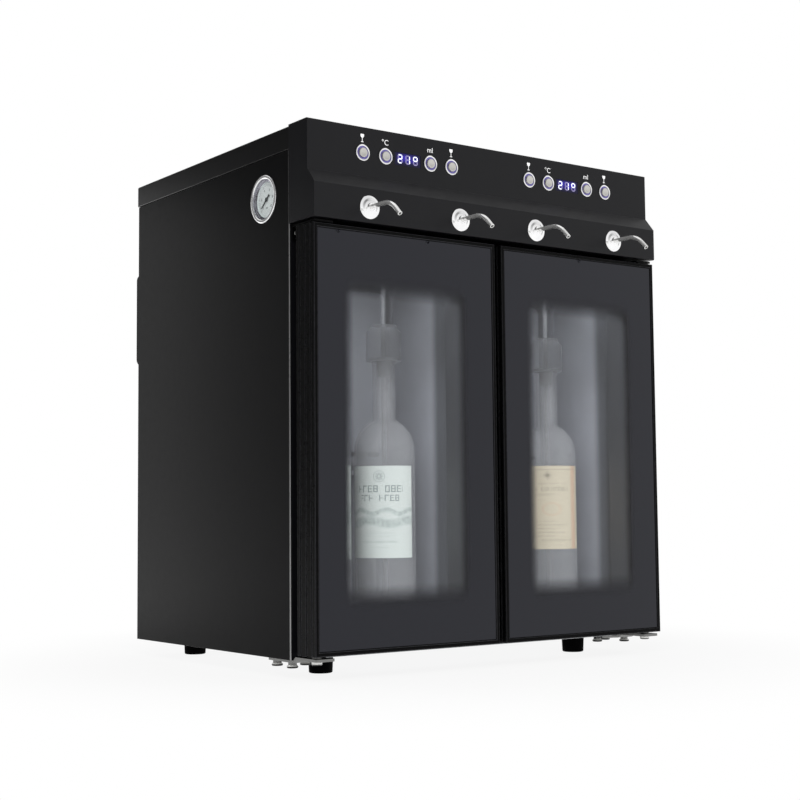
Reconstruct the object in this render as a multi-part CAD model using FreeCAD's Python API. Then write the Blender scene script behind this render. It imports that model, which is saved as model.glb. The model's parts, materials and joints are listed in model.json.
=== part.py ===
"""Wine dispenser for four bottles: two cooled compartments with glass doors under a tap head.

Frame: +Z up, the floor at Z = 0, X across with 0 midway between the doors, the doors facing -Y.
Y = 0 is midway between the foremost point of the taps and the rear cover. Millimetres.
"""
import FreeCAD, Part
import math
import os
from FreeCAD import Vector as V

# ---------------------------------------------------------------- driving sizes
# Cabinet shell, folded from painted sheet
CABINET_W = 535.4         # across the two side panels
CABINET_D = 387.8         # side panel, front fold to rear fold
SHEET = 1.0               # sheet of the panels, cover, base and back
FOLD_R = 1.5              # outside radius of a fold
FRONT_FOLD = 8.0          # width of the side panel's front fold
BOTTOM_FOLD = 13.0        # and of its bottom fold
REAR_FOLD = 12.5          # and of its rear fold
COVER_STEP = 1.0          # the top cover lies this far under the head
COVER_INSET = 0.5         # and this far in from the side panels
COVER_SKIRT = 27.0        # height of its skirt
COVER_CORNER = 3.0        # plan radius of its rear corners
COVER_BACK = 5.0          # its rear skirt stands out over the back panel
COVER_SEAM = 2.0          # open seam between skirt and side panel
LIP_H = 11.0              # lip of the side panel tucked under the skirt
PAN_EDGE = 10.0           # turned-up edge of the base plate

# Feet
FOOT_H = 21.5
FOOT_R = 14.9
FOOT_TIP_R = 13.9
FOOT_CHAMFER = 1.5
FOOT_STUD_R = 4.0
FOOT_STUD_L = 7.0
FOOT_INSET_X = 68.2       # from the cabinet's side
FOOT_INSET_FRONT = 43.0   # from the side panel's front edge
FOOT_INSET_REAR = 36.0    # from its rear edge

# Doors
DOOR_H = 483.9
DOOR_T = 37.0             # frame and panel, without the gasket
DOOR_GAP = 9.8            # between the two doors
DOOR_LIFT = 6.5           # over the underside of the cabinet
BORDER = 5.5              # frame that shows round the glass
FRAME_EDGE = 0.8          # chamfers of its front edges
RAIL_W = 22.0             # width of the frame's rails
GLASS_SET = 0.8           # the glass lies this far behind the frame's face
GLASS_T = 4.0
GROOVE_AT = (7.0, 18.0, 30.0)   # grooves along the frame's outer sides, from the face
GROOVE_D = 1.2
GROOVE_W = 3.0
WINDOW_SIDE = 44.4        # border of the door at each side of its window
WINDOW_H = 376.0
WINDOW_Z = 54.0           # window's lower edge over the door's
WINDOW_R = 4.0
TUNNEL_WALL = 12.0        # raised rim of the door panel round the window
TUNNEL_BACK = 13.0        # that rim stands this far behind the frame
TUNNEL_EDGE_R = 3.0
INNER_PANE_T = 4.0
INNER_PANE_LAP = 5.0      # the inner pane overlaps the window all round
INNER_PANE_SET = 2.0      # and lies this far inside the rim

# Gasket
GASKET_DEPTH = 13.8       # from the door frame to the cabinet's front frame
GASKET_INSET = 13.7       # from the door's edge
GASKET_W = 12.0
SEAL_GAP = 0.3

# Front frame and tap head
FRAME_SHEET = 1.2
FRAME_RISE = 44.0         # the front frame stands up behind the head
HEAD_GAP = 5.6            # from the doors to the head
HEAD_LOW_H = 40.0         # lower face, with the taps
HEAD_SLOPE_H = 17.0       # slope between the faces
HEAD_HIGH_H = 58.5        # upper face, with the controls
HEAD_PROUD = 2.7          # the lower face stands in front of the doors
HEAD_STEP = 14.2          # and the upper face this far behind the lower
HEAD_WALL = 2.5
HEAD_OVERHANG = 0.5       # past each side panel
HEAD_SEAM = 0.4
HEAD_EDGE_R = 1.5

# Taps
TAP_X = (60.0, 193.0)     # each side of the middle
TAP_Z = 18.0              # over the head's lower edge
TAP_R = 2.7
TAP_BORE_R = 1.8
TAP_STRAIGHT = 29.0       # in front of the head
TAP_BEND_R = 32.0
TAP_BEND_DEG = 45.0
TAP_TAIL = 11.0
TAP_STUB = 15.0           # inside the head
ROSETTE_R = 13.7
ROSETTE_H = 3.2
ROSETTE_EDGE = 1.2        # its rim
ROSETTE_COLLAR_R = 4.6
ROSETTE_COLLAR_H = 1.8

# Buttons and displays
BUTTON_X = (62.0, 94.0, 160.0, 192.5)   # each side of the middle
BUTTON_Z = 27.8           # over the foot of the upper face
BEZEL_R = 9.85
BEZEL_BARREL_R = 8.6
BEZEL_BORE_R = 7.7
BEZEL_PROUD = 1.7
BEZEL_EDGE = 0.7
RING_R = 6.5              # inner radius of the light ring
RING_SET = 0.7            # the ring lies this far inside the bezel
RING_L = 4.0
CAP_CLEAR = 0.3
CAP_PROUD = 0.5           # the cap stands this far out of the bezel
CAP_L = 6.0
CAP_EDGE = 0.5
CAP_RIM = 1.6             # the dished face starts this far inside the edge
CAP_STEM_R = 2.0
BUTTON_TRAVEL = 1.0
BOARD_BACK = 12.5         # the control board lies this far behind the upper face
BOARD_T = 1.6
BOARD_MARGIN_X = 22.0
BOARD_H = 40.0
POST_R = 3.0              # posts that carry the board
SWITCH_W = 6.0            # small switches on the board under the caps
SWITCH_H = 1.6
SWITCH_GAP = 0.3
DISPLAY_X = 127.0
DISPLAY_W = 38.0
DISPLAY_H = 15.0
DISPLAY_SET = 0.3
DISPLAY_RIM = 2.0         # foot of the display round its window
DISPLAY_FOOT = 3.0
FIT = 0.2                 # between fixed parts that slip together

# Pressure gauge in the left side panel
GAUGE_Y = 57.0            # behind the side panel's front edge
GAUGE_RISE = 38.5         # over the head's lower edge
GAUGE_R = 28.5
GAUGE_PROUD = 1.2
GAUGE_EDGE = 0.8
GAUGE_CASE_R = 25.0
GAUGE_CASE_L = 24.0
GAUGE_THROAT_R = 24.0     # mouth of the recess
DIAL_R = 20.5
DIAL_SET = 5.0            # dial behind the panel's face
DIAL_T = 1.0
LENS_T = 1.2
LENS_SET = 2.0            # lens inside the bezel's face
SPINDLE_R = 0.8
NEEDLE_T = 0.7
NEEDLE_L = 15.0
NEEDLE_TAIL = 8.0
NEEDLE_HUB_R = 2.7
NEEDLE_REST_DEG = 38.0    # the needle rests this far under the horizontal, pointing back
NEEDLE_LIFT = 0.6         # over the dial

# Compartments
ROOM_INSET = 17.7         # compartment wall from the cabinet's side
MULLION = 40.0            # between the two compartments
ROOM_Z = 36.5             # compartment floor over the underside of the cabinet
ROOM_H = 426.0
ROOM_D = 184.0            # behind the front frame
ROOM_R = 14.0             # corner radius
LINER_T = 1.5
LINER_FLANGE = 8.0
FOAM_BACK = 18.0          # insulation behind the liners
FOAM_OVER = 26.0          # and over them

# Bottles, stoppers and trays
BOTTLE_PITCH = 96.0
BOTTLE_Y = 69.0           # bottle axis behind the compartment's front edge
BOTTLE_R = 37.5
BOTTLE_H = 305.0
BODY_H = 190.0            # straight side of the bottle
SHOULDER_R = 42.0
NECK_R = 14.0
LIP_R = 15.2
LIP_BAND = 8.0
NECK_BORE_R = 9.3
BOTTLE_WALL = 3.0
BOTTLE_FOOT = 12.0        # width of the ring that the bottle stands on, with its rounding
PUNT = 8.0                # rise of the base inside that ring
TRAY_H = 18.0
TRAY_SEAT = 3.0           # depth of the seats
TRAY_GAP = 0.6
TRAY_FRONT = 24.0         # tray's front edge behind the compartment's front
TRAY_D = 90.0
TRAY_WALL = 3.0
TRAY_SLOT = (3.0, 16.0)   # air slots between the seats: across, along
TRAY_SLOT_PITCH = 24.0
STOPPER_R = 22.0
STOPPER_H = 41.0
STOPPER_SKIRT = 4.0       # reaches down round the bottle's lip
STOPPER_PLUG = 24.0
STOPPER_SHOULDER = 9.0    # the cap narrows this far under its top
STOPPER_NECK = 5.0        # by this much on the radius

# Tubes
RISER_R = 3.0
DIP_GAP = 0.5             # dip tube over the bottle's base
GAS_TUBE_R = 2.0
GAS_TUBE_X = 13.0         # beside the riser
GAS_BEND_R = 10.0
SUPPLY_RUN = 60.0         # the line from the inlet bends this far behind the manifold
GAS_TURN = 24.0           # straight line past the manifold's ends
TUBE_FIT = 0.1
HOSE_R = 4.4
HOSE_FIT = 0.05
HOSE_BEND_R = 14.0
HOSE_RUN = 16.0           # straight hose behind the front frame and before the valve

# Cooling
STACK_Z = 372.0           # cold block over the compartment floor
BLOCK = 60.0              # cold block, square
MODULE = 40.0             # thermoelectric module, square
MODULE_T = 4.0
COLD_PLATE_W = 90.0
COLD_PLATE_H = 84.0
COLD_PLATE_T = 4.0
COLD_FIN_L = 12.0
COLD_FINS = 9
SINK_W = 110.0
SINK_H = 120.0
SINK_BASE = 6.0
SINK_FIN_L = 34.0
SINK_FINS = 14
FIN_T = 1.6
DUCT_SIDE = 10.0          # between the duct cover and the compartment wall
DUCT_H = 240.0
DUCT_D = 38.0
DUCT_WALL = 2.0
DUCT_TOP = 10.0           # under the ceiling
DUCT_R = 10.0
DUCT_SLOTS = 2
DUCT_SLOT_Z = 10.0        # lowest slot over the cover's foot
DUCT_SLOT_SHARE = 0.40    # slot length as a share of the cover's width

# Fans
FAN_W = 92.0              # rear fan frame, square
FAN_D = 25.0
FAN_HOLE_R = 2.2          # corner holes
FAN_HOLE_INSET = 4.8
FAN_BORE_R = 43.5
FAN_INSET = 142.7         # rear fan's axis from the cabinet's side
FAN_HUB_R = 18.0
ROTOR_R = 42.0
ROTOR_D = 15.0
SMALL_BORE_R = 39.0       # fan opening in the duct cover
SMALL_ROTOR_R = 37.0
SMALL_HUB_R = 14.0
SMALL_ROTOR_D = 10.0
BLADES = 7
BLADE_T = 1.4
BLADE_ROOT_DEG = 48.0
BLADE_TIP_DEG = 24.0
SPOKE_W = 4.0
SPOKE_T = 3.0
ROTOR_CAP = 2.0           # end wall of a rotor's hub, in front of its pin
PIN_R = 2.0
PIN_CLEAR = 0.05
FAN_CLEAR = 1.0           # rotor from its spider

# Rear
REAR_BOX_D = 35.0         # rear cover, from the back panel
REAR_BOX_H = 129.0
REAR_BOX_TOP = 115.0      # its top under the head's top
REAR_BOX_INSET = 13.2     # from the cabinet's sides
REAR_BOX_R = 10.0
REAR_BOX_WALL = 1.5
REAR_FLANGE = 9.0
GRILLE_RINGS = 5          # ring slots of each fan grille
GRILLE_HUB_R = 8.0
GRILLE_GAP = 4.0          # width of a ring slot
GRILLE_WEB = 3.2          # radial webs that carry the rings
SLOT_H = 4.0
SLOT_PITCH = 8.5
INTAKE_SLOTS = 7
INTAKE_W = 70.0
INTAKE_Z = 90.0           # lowest intake slot over the cabinet's underside

# Light bars
LIGHT_SIDE = 25.0         # between the light bar and the compartment wall
LIGHT_D = 12.0
LIGHT_H = 6.0
LIGHT_Y = 8.0             # behind the compartment's front edge
LIGHT_NOSE = 0.6          # the front face reaches down this share of the height
LIGHT_SLANT = 0.3         # and the slanted lens takes this share of the depth

# Hinges
PIN_INSET = 12.7          # hinge axis from the door's side
PIN_SET = 17.0            # and behind the door's face
HINGE_PIN_R = 3.0
HINGE_CLEAR = 0.05
HINGE_BORE = 14.0
HINGE_T = 3.0
TONGUE_W = 25.0
TONGUE_FRONT = 2.0        # behind the door's face
PLATE_W = 45.0
PLATE_D = 54.0            # under the cabinet
PLATE_INSET = 2.7         # from the cabinet's side
PLATE_R = 3.0
STEP_RUN = 5.0            # the step lies in front of the cabinet
COLLAR_R = 5.5
COLLAR_H = 2.2
COLLAR_CLEAR = 0.3
PIN_HEAD_R = 6.0
PIN_HEAD_H = 4.5
UPPER_HEAD_H = 1.2        # the upper pin's head is flat
PIN_TIP = 0.8             # chamfers of the pins' ends
BRACKET_T = 2.5
BRACKET_LIFT = 1.3        # upper bracket over the door
BRACKET_DROP = 15.0
BRACKET_SCREW_X = 7.0     # its screws, each side of its middle
BOLT_R = 2.5
BOLT_HEAD_R = 6.5
BOLT_HEAD_H = 6.5
BOLT_OVER = 4.0           # its end inside the cabinet
BOLT_AT = ((9.0, 43.0), (7.7, 8.0), (37.7, 28.0))   # from the side, behind the panel's front
SCREW_R = 1.6
SCREW_HEAD_R = 3.4
SCREW_HEAD_H = 2.0
BRACKET_SCREW_H = 1.4     # flatter heads on the upper brackets
SCREW_L = 6.0
SCREW_FIT = 0.1

# Valves, manifold, supply, inlets
VALVE_W = 30.0
VALVE_D = 34.0
VALVE_H = 34.0
COIL_R = 13.0
COIL_H = 30.0
NIPPLE_L = 10.0
MANIFOLD_Y = 46.0         # behind the valves' axis
MANIFOLD_S = 20.0         # depth of its section
MANIFOLD_H = 24.0
MANIFOLD_OVER = 12.0      # past the outer outlets
REGULATOR_R = 16.0
REGULATOR_H = 42.0
SUPPLY = (110.0, 120.0, 40.0)
SUPPLY_INSET = 157.7      # power supply's middle from the cabinet's left side
SUPPLY_REAR = 14.0        # from the back panel
INLET_INSET = 67.7        # gas inlet from the cabinet's right side
INLET_RISE = 42.0         # gas inlet over the head's lower edge
INLET_R = 6.0
INLET_BORE_R = 3.02       # takes a 6 mm gas hose
INLET_BORE_L = 12.0
INLET_NUT = 3.5           # its nut round the body
INLET_OUT = 16.0
INLET_IN = 20.0
SOCKET_INSET = 77.7       # power inlet from the cabinet's left side
SOCKET_Z = 40.0           # power inlet over the cabinet's underside
SOCKET_W = 30.0
SOCKET_H = 24.0
SOCKET_DEPTH = 16.0       # recess for the plug
SOCKET_WALL = 2.0
SOCKET_CUT = 5.0          # its upper corners are cut off
SOCKET_PIN = (2.0, 14.0, 4.0)   # contact blade: across, along, high
SOCKET_PINS = ((-7.0, -2.0), (7.0, -2.0), (0.0, 2.0))
SOCKET_FLANGE = 5.0

# ---------------------------------------------------------------- levels and places
# Heights
z_cabinet = FOOT_H
z_door = z_cabinet + DOOR_LIFT
z_door_top = z_door + DOOR_H
z_head = z_door_top + HEAD_GAP
z_slope = z_head + HEAD_LOW_H
z_high = z_slope + HEAD_SLOPE_H
z_top = z_high + HEAD_HIGH_H
z_cover = z_top - COVER_STEP
z_skirt = z_cover - COVER_SKIRT
z_panel = z_skirt - COVER_SEAM
z_room = z_cabinet + ROOM_Z
z_room_top = z_room + ROOM_H
z_foam = z_cabinet + SHEET + PAN_EDGE
z_foam_top = z_room_top + FOAM_OVER
z_tray = z_room + TRAY_H
z_bottle = z_tray - TRAY_SEAT
z_lip = z_bottle + BOTTLE_H
z_stopper = z_lip + STOPPER_H
z_tap = z_head + TAP_Z
z_button = z_high + BUTTON_Z
z_gauge = z_head + GAUGE_RISE
z_stack = z_room + STACK_Z
z_rear_box = z_top - REAR_BOX_TOP
z_fan = z_rear_box - REAR_BOX_H / 2

# Depths. The spout's bend gives the foremost point, the rear cover the rearmost.
bend = math.radians(TAP_BEND_DEG)
tap_reach = (HEAD_PROUD + TAP_STRAIGHT + TAP_BEND_R * math.sin(bend)
             + TAP_TAIL * math.cos(bend) + TAP_R * math.sin(bend))
body_depth = DOOR_T + GASKET_DEPTH + FRAME_SHEET + CABINET_D
y_door = (tap_reach - body_depth - REAR_BOX_D + SHEET) / 2
y_frame = y_door + DOOR_T + GASKET_DEPTH
y_panel = y_frame + FRAME_SHEET
y_rear = y_panel + CABINET_D
y_back = y_rear - SHEET                  # outer face of the back panel
y_low = y_door - HEAD_PROUD
y_high = y_low + HEAD_STEP
y_board = y_high + BOARD_BACK
y_room = y_panel
y_wall = y_room + ROOM_D
y_bottle = y_room + BOTTLE_Y
y_foam_back = y_wall + LINER_T + FOAM_BACK
y_gauge = y_panel + GAUGE_Y
y_pin = y_door + PIN_SET

# Widths
x_side = CABINET_W / 2
x_inside = x_side - SHEET
x_head = x_side + HEAD_OVERHANG
x_frame = x_head - HEAD_WALL - FIT
room_w = x_side - ROOM_INSET - MULLION / 2
duct_w = room_w - 2 * DUCT_SIDE
light_w = room_w - 2 * LIGHT_SIDE
x_room = MULLION / 2 + room_w / 2        # middle of a compartment
x_bottles = (x_room - BOTTLE_PITCH / 2, x_room + BOTTLE_PITCH / 2)
door_w = x_side - DOOR_GAP / 2
window_w = door_w - 2 * WINDOW_SIDE
x_door = (x_side + DOOR_GAP / 2) / 2     # middle of a door
x_pin = x_side - PIN_INSET
x_rear_box = x_side - REAR_BOX_INSET
x_fan = x_side - FAN_INSET
x_inlet = x_side - INLET_INSET
x_socket = SOCKET_INSET - x_side
x_supply = SUPPLY_INSET - x_side
SIDES = (-1, 1)
FOREWARD = V(0, -1, 0)
BACKWARD = V(0, 1, 0)
UP = V(0, 0, 1)


# ---------------------------------------------------------------- helpers
def box(x0, x1, y0, y1, z0, z1):
    """A box from its limits, given in either order."""
    lo = V(min(x0, x1), min(y0, y1), min(z0, z1))
    return Part.makeBox(abs(x1 - x0), abs(y1 - y0), abs(z1 - z0), lo)


def rod(radius, start, direction, length):
    """A cylinder from its start point."""
    return Part.makeCylinder(radius, length, start, direction)


def rounded_edges(points, radii, closed=True):
    """Straight runs through the points, joined by tangent arcs at the corners with a radius."""
    count = len(points)
    starts, ends, arcs = list(points), list(points), [None] * count
    for i, corner in enumerate(points):
        if not radii[i] or (not closed and i in (0, count - 1)):
            continue
        a = (points[i - 1] - corner).normalize()
        b = (points[(i + 1) % count] - corner).normalize()
        half = a.getAngle(b) / 2
        reach = radii[i] / math.tan(half)
        middle = (a + b).normalize()
        centre = corner + middle * (radii[i] / math.sin(half))
        starts[i], ends[i] = corner + a * reach, corner + b * reach
        arcs[i] = Part.Arc(starts[i], centre - middle * radii[i], ends[i]).toShape()
    edges = []
    for i in range(count):
        if arcs[i]:
            edges.append(arcs[i])
        following = (i + 1) % count
        if (following or closed) and ends[i].distanceToPoint(starts[following]) > 1e-6:
            edges.append(Part.LineSegment(ends[i], starts[following]).toShape())
    return edges


def outline_face(points, radii=None):
    """A flat face inside the points, with rounded corners where radii are given."""
    radii = radii or [0] * len(points)
    return Part.Face(Part.Wire(rounded_edges(points, radii)))


def across(points, x0, x1, radii=None):
    """A profile of (y, z) points, extruded along X."""
    face = outline_face([V(x0, y, z) for y, z in points], radii)
    return face.extrude(V(x1 - x0, 0, 0))


def upright(points, z0, z1, radii=None):
    """A plan of (x, y) points, extruded along Z."""
    face = outline_face([V(x, y, z0) for x, y in points], radii)
    return face.extrude(V(0, 0, z1 - z0))


def rounded_block(x0, x1, z0, z1, y0, y1, radius):
    """A block with four rounded edges along Y."""
    points = [V(x0, y0, z0), V(x1, y0, z0), V(x1, y0, z1), V(x0, y0, z1)]
    return outline_face(points, [radius] * 4).extrude(V(0, y1 - y0, 0))


def turned(profile, at, direction):
    """A turned part: (radius, height) points revolved about the direction through at.

    A third value on a point rounds that corner.
    """
    points = [V(p[0], 0, p[1]) for p in profile]
    radii = [p[2] if len(p) > 2 else 0 for p in profile]
    solid = outline_face(points, radii).revolve(V(0, 0, 0), UP, 360)
    solid.Placement = FreeCAD.Placement(at, FreeCAD.Rotation(UP, direction))
    return solid


def piped(points, bend_r, radius, bore=0):
    """A round tube along straight runs joined by arcs."""
    path = Part.Wire(rounded_edges(points, [bend_r] * len(points), closed=False))
    start = points[1] - points[0]
    outer = path.makePipeShell([Part.Wire(Part.makeCircle(radius, points[0], start))], True, True)
    if not bore:
        return outer
    hole = path.makePipeShell([Part.Wire(Part.makeCircle(bore, points[0], start))], True, True)
    return outer.cut(hole)


def mitred_ring(x0, x1, z0, z1, profile):
    """A frame of one section, mitred at its four corners.

    The profile is (inset, y) points, inset measured inwards from the limits.
    """
    corners = ((x0, z0, 1, 1), (x1, z0, -1, 1), (x1, z1, -1, -1), (x0, z1, 1, -1))
    sections = [[V(x + sx * inset, y, z + sz * inset) for inset, y in profile]
                for x, z, sx, sz in corners]
    faces = []
    for k, section in enumerate(sections):
        following = sections[(k + 1) % 4]
        for i in range(len(profile)):
            j = (i + 1) % len(profile)
            quad = [section[i], section[j], following[j], following[i], section[i]]
            faces.append(Part.Face(Part.makePolygon(quad)))
    solid = Part.Solid(Part.Shell(faces))
    if solid.Volume < 0:
        solid.reverse()
    return solid


def slot(x, z, length, height, y0, y1):
    """A round-ended slot along X, cut right through along Y."""
    r = height / 2 - 0.01
    return rounded_block(x - length / 2, x + length / 2, z - height / 2, z + height / 2, y0, y1, r)


def all_cut(solid, tools):
    """The solid with every tool cut out of it."""
    return solid.cut(tools) if tools else solid


def joined(first, *others):
    """One solid made of several that meet."""
    return first.fuse(list(others)).removeSplitter()


def room_block(side, grow, y0, y1):
    """The rounded shape of a compartment, grown all round."""
    xa = MULLION / 2 - grow
    xb = MULLION / 2 + room_w + grow
    return rounded_block(min(side * xa, side * xb), max(side * xa, side * xb),
                         z_room - grow, z_room_top + grow, y0, y1, ROOM_R + grow)


def both(make):
    """The solids of a piece that each side has one of."""
    return [make(side) for side in SIDES]


def tap_places():
    """X of the four taps, each with the X of the bottle that it pours from."""
    return [(side * tap, side * bottle) for side in SIDES for tap, bottle in zip(TAP_X, x_bottles)]


def bottle_places():
    """X of the four bottles."""
    return [side * x for side in SIDES for x in x_bottles]


def button_places():
    """X of the eight buttons, left to right."""
    return sorted(side * x for side in SIDES for x in BUTTON_X)


def foot_places():
    """X and Y of the four feet."""
    depths = (y_panel + FOOT_INSET_FRONT, y_rear - FOOT_INSET_REAR)
    return [(side * (x_side - FOOT_INSET_X), y) for side in SIDES for y in depths]


def bolt_places(side):
    """X and Y of the bolts through a lower hinge plate."""
    return [(side * (x_side - inset), y_panel + behind) for inset, behind in BOLT_AT]


# ---------------------------------------------------------------- cabinet shell
def side_panel(side):
    """Side panel with front, rear and bottom folds and a joggled lip under the top cover."""
    s = side
    plan = [(s * (x_side - FRONT_FOLD), y_panel), (s * x_side, y_panel), (s * x_side, y_rear),
            (s * (x_side - REAR_FOLD), y_rear), (s * (x_side - REAR_FOLD), y_rear - SHEET),
            (s * x_inside, y_rear - SHEET), (s * x_inside, y_panel + SHEET),
            (s * (x_side - FRONT_FOLD), y_panel + SHEET)]
    inner_r = FOLD_R - SHEET
    radii = [0, FOLD_R, FOLD_R, 0, 0, inner_r, inner_r, 0]
    wall = upright(plan, z_cabinet, z_panel, radii)
    fold = box(s * (x_inside + SHEET / 2), s * (x_side - BOTTOM_FOLD),
               y_panel + FOLD_R, y_rear - FOLD_R, z_cabinet, z_cabinet + SHEET)
    x_lip = x_side - COVER_INSET - SHEET - 2 * FIT
    joggle = box(s * (x_inside + SHEET / 2), s * (x_lip - SHEET),
                 y_panel + FOLD_R, y_rear - COVER_CORNER, z_panel - SHEET, z_panel)
    lip = box(s * x_lip, s * (x_lip - SHEET), y_panel + FOLD_R, y_rear - COVER_CORNER,
              z_panel - SHEET, z_panel + LIP_H)
    panel = joined(wall, fold, joggle, lip)
    cuts = [rod(BOLT_R + SCREW_FIT, V(x, y, z_cabinet - SHEET), UP, 3 * SHEET)
            for x, y in bolt_places(s)]
    if s < 0:
        cuts.append(rod(GAUGE_CASE_R + FIT, V(-x_side - 5, y_gauge, z_gauge), V(1, 0, 0), 10))
    return all_cut(panel, cuts)


def top_cover():
    """Top cover: a flat top with a skirt at the sides and rear, rounded at the rear corners."""
    x = x_side - COVER_INSET
    y = y_rear + COVER_BACK
    outer = [(-x, y_panel), (x, y_panel), (x, y), (-x, y)]
    cover = upright(outer, z_skirt, z_cover, [0, 0, COVER_CORNER, COVER_CORNER])
    edges = [e for e in cover.Edges
             if abs(e.BoundBox.ZMin - z_cover) < 0.01 and abs(e.BoundBox.ZMax - z_cover) < 0.01
             and e.BoundBox.YMax > y_panel + 0.01]
    cover = cover.makeFillet(2 * SHEET, edges)
    xi = x - SHEET
    inner = [(-xi, y_panel - 1), (xi, y_panel - 1), (xi, y - SHEET), (-xi, y - SHEET)]
    inner_r = COVER_CORNER - SHEET
    return cover.cut(upright(inner, z_skirt - 1, z_cover - SHEET, [0, 0, inner_r, inner_r]))


def base_plate():
    """Base plate: a pan between the side panels' bottom folds."""
    x = x_side - BOTTOM_FOLD - FIT
    y0, y1 = y_panel + FOLD_R, y_back - SHEET - FIT
    pan = box(-x, x, y0, y1, z_cabinet, z_foam)
    pan = pan.cut(box(-x + SHEET, x - SHEET, y0 + SHEET, y1 - SHEET, z_cabinet + SHEET, z_foam + 1))
    cuts = [rod(FOOT_STUD_R + FIT, V(px, py, z_cabinet - 1), UP, 3 * SHEET)
            for px, py in foot_places()]
    for side in SIDES:
        cuts += [rod(BOLT_R + SCREW_FIT, V(px, py, z_cabinet - 1), UP, PAN_EDGE)
                 for px, py in bolt_places(side) if abs(px) < x]
    return all_cut(pan, cuts)


def feet():
    """Four tapered feet, each on a stud through the base plate."""
    profile = [(0, 0), (FOOT_TIP_R - FOOT_CHAMFER, 0), (FOOT_TIP_R, FOOT_CHAMFER),
               (FOOT_R, FOOT_H), (FOOT_STUD_R, FOOT_H), (FOOT_STUD_R, FOOT_H + FOOT_STUD_L),
               (0, FOOT_H + FOOT_STUD_L)]
    return [turned(profile, V(x, y, 0), UP) for x, y in foot_places()]


def back_screws():
    """X and Z of the screws through the back panel into the side panels' rear folds."""
    x = x_side - REAR_FOLD / 2
    span = z_panel - z_cabinet
    return [(side * x, z_cabinet + span * share) for side in SIDES for share in (0.08, 0.5, 0.92)]


def cover_screws():
    """X and Z of the screws through the rear cover's flanges."""
    top, foot = z_rear_box + REAR_FLANGE / 2, z_rear_box - REAR_BOX_H - REAR_FLANGE / 2
    return [(x, z) for x in (-x_rear_box + 20, 0, x_rear_box - 20) for z in (foot, top)]


def back_panel():
    """Back panel with the fan openings, intake slots and holes for the two inlets."""
    y0, y1 = y_back - SHEET, y_back
    x = x_inside - (FOLD_R - SHEET) - FIT
    panel = box(-x, x, y0, y1, z_cabinet + SHEET, z_panel - 2 * SHEET)
    cuts = [rod(FAN_BORE_R, V(side * x_fan, y0 - 1, z_fan), BACKWARD, 3 * SHEET) for side in SIDES]
    for side in SIDES:
        for row in range(INTAKE_SLOTS):
            z = z_cabinet + INTAKE_Z + row * SLOT_PITCH
            cuts.append(slot(side * x_room, z, INTAKE_W, SLOT_H, y0 - 1, y1 + 1))
    cuts.append(rod(INLET_R + FIT, V(x_inlet, y0 - 1, z_head + INLET_RISE), BACKWARD, 3 * SHEET))
    z_socket = z_cabinet + SOCKET_Z
    cuts.append(box(x_socket - SOCKET_W / 2 - FIT, x_socket + SOCKET_W / 2 + FIT, y0 - 1, y1 + 1,
                    z_socket - SOCKET_H / 2 - FIT, z_socket + SOCKET_H / 2 + FIT))
    cuts += [rod(SCREW_R + SCREW_FIT, V(px, y0 - 1, pz), BACKWARD, 3 * SHEET)
             for px, pz in back_screws() + cover_screws()]
    return all_cut(panel, cuts)


def ring_slots(x, z, y0, y1):
    """The slots of a fan grille: rings about the fan's axis, broken by radial webs."""
    step = (FAN_BORE_R - GRILLE_HUB_R) / GRILLE_RINGS
    rings = []
    for i in range(GRILLE_RINGS):
        r = FAN_BORE_R - i * step
        outer = rod(r, V(x, y0, z), BACKWARD, y1 - y0)
        rings.append(outer.cut(rod(r - GRILLE_GAP, V(x, y0 - 1, z), BACKWARD, y1 - y0 + 2)))
    webs = []
    for turn in (45, 135):
        web = box(x - FAN_W, x + FAN_W, y0 - 1, y1 + 1, z - GRILLE_WEB / 2, z + GRILLE_WEB / 2)
        web.rotate(V(x, 0, z), BACKWARD, turn)
        webs.append(web)
    return Part.Compound(rings).cut(webs)


def rear_cover():
    """Rear cover over the two fans: a rounded box with a slotted grille at each fan."""
    x, z0, z1 = x_rear_box, z_rear_box - REAR_BOX_H, z_rear_box
    y0, y1, t = y_back, y_back + REAR_BOX_D, REAR_BOX_WALL
    shell = rounded_block(-x, x, z0, z1, y0, y1, REAR_BOX_R)
    rear_edges = [e for e in shell.Edges
                  if abs(e.BoundBox.YMin - y1) < 0.01 and abs(e.BoundBox.YMax - y1) < 0.01]
    shell = shell.makeFillet(2 * t, rear_edges)
    flange = rounded_block(-x, x, z0 - REAR_FLANGE, z1 + REAR_FLANGE, y0, y0 + t, 3)
    shell = joined(shell, flange)
    shell = shell.cut(rounded_block(-x + t, x - t, z0 + t, z1 - t, y0 - 1, y1 - t,
                                    REAR_BOX_R - t))
    cuts = [ring_slots(side * x_fan, z_fan, y1 - 2 * t, y1 + 1) for side in SIDES]
    cuts += [rod(SCREW_R + SCREW_FIT, V(px, y0 - 1, pz), BACKWARD, 5) for px, pz in cover_screws()]
    return all_cut(shell, cuts)


# ---------------------------------------------------------------- compartments
def front_frame():
    """Front frame round both compartments, on which the gaskets close."""
    frame = box(-x_frame, x_frame, y_frame, y_panel, z_cabinet + SHEET, z_head + FRAME_RISE)
    cuts = [room_block(side, 0, y_frame - 1, y_panel + 1) for side in SIDES]
    cuts += [rod(HOSE_R + FIT, V(x, y_frame - 1, z_tap), BACKWARD, 4) for x, _ in tap_places()]
    cuts += [rod(SCREW_R + SCREW_FIT, V(x, y_frame - 1, z), BACKWARD, 4)
             for x, z in bracket_screws()]
    return all_cut(frame, cuts)


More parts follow.
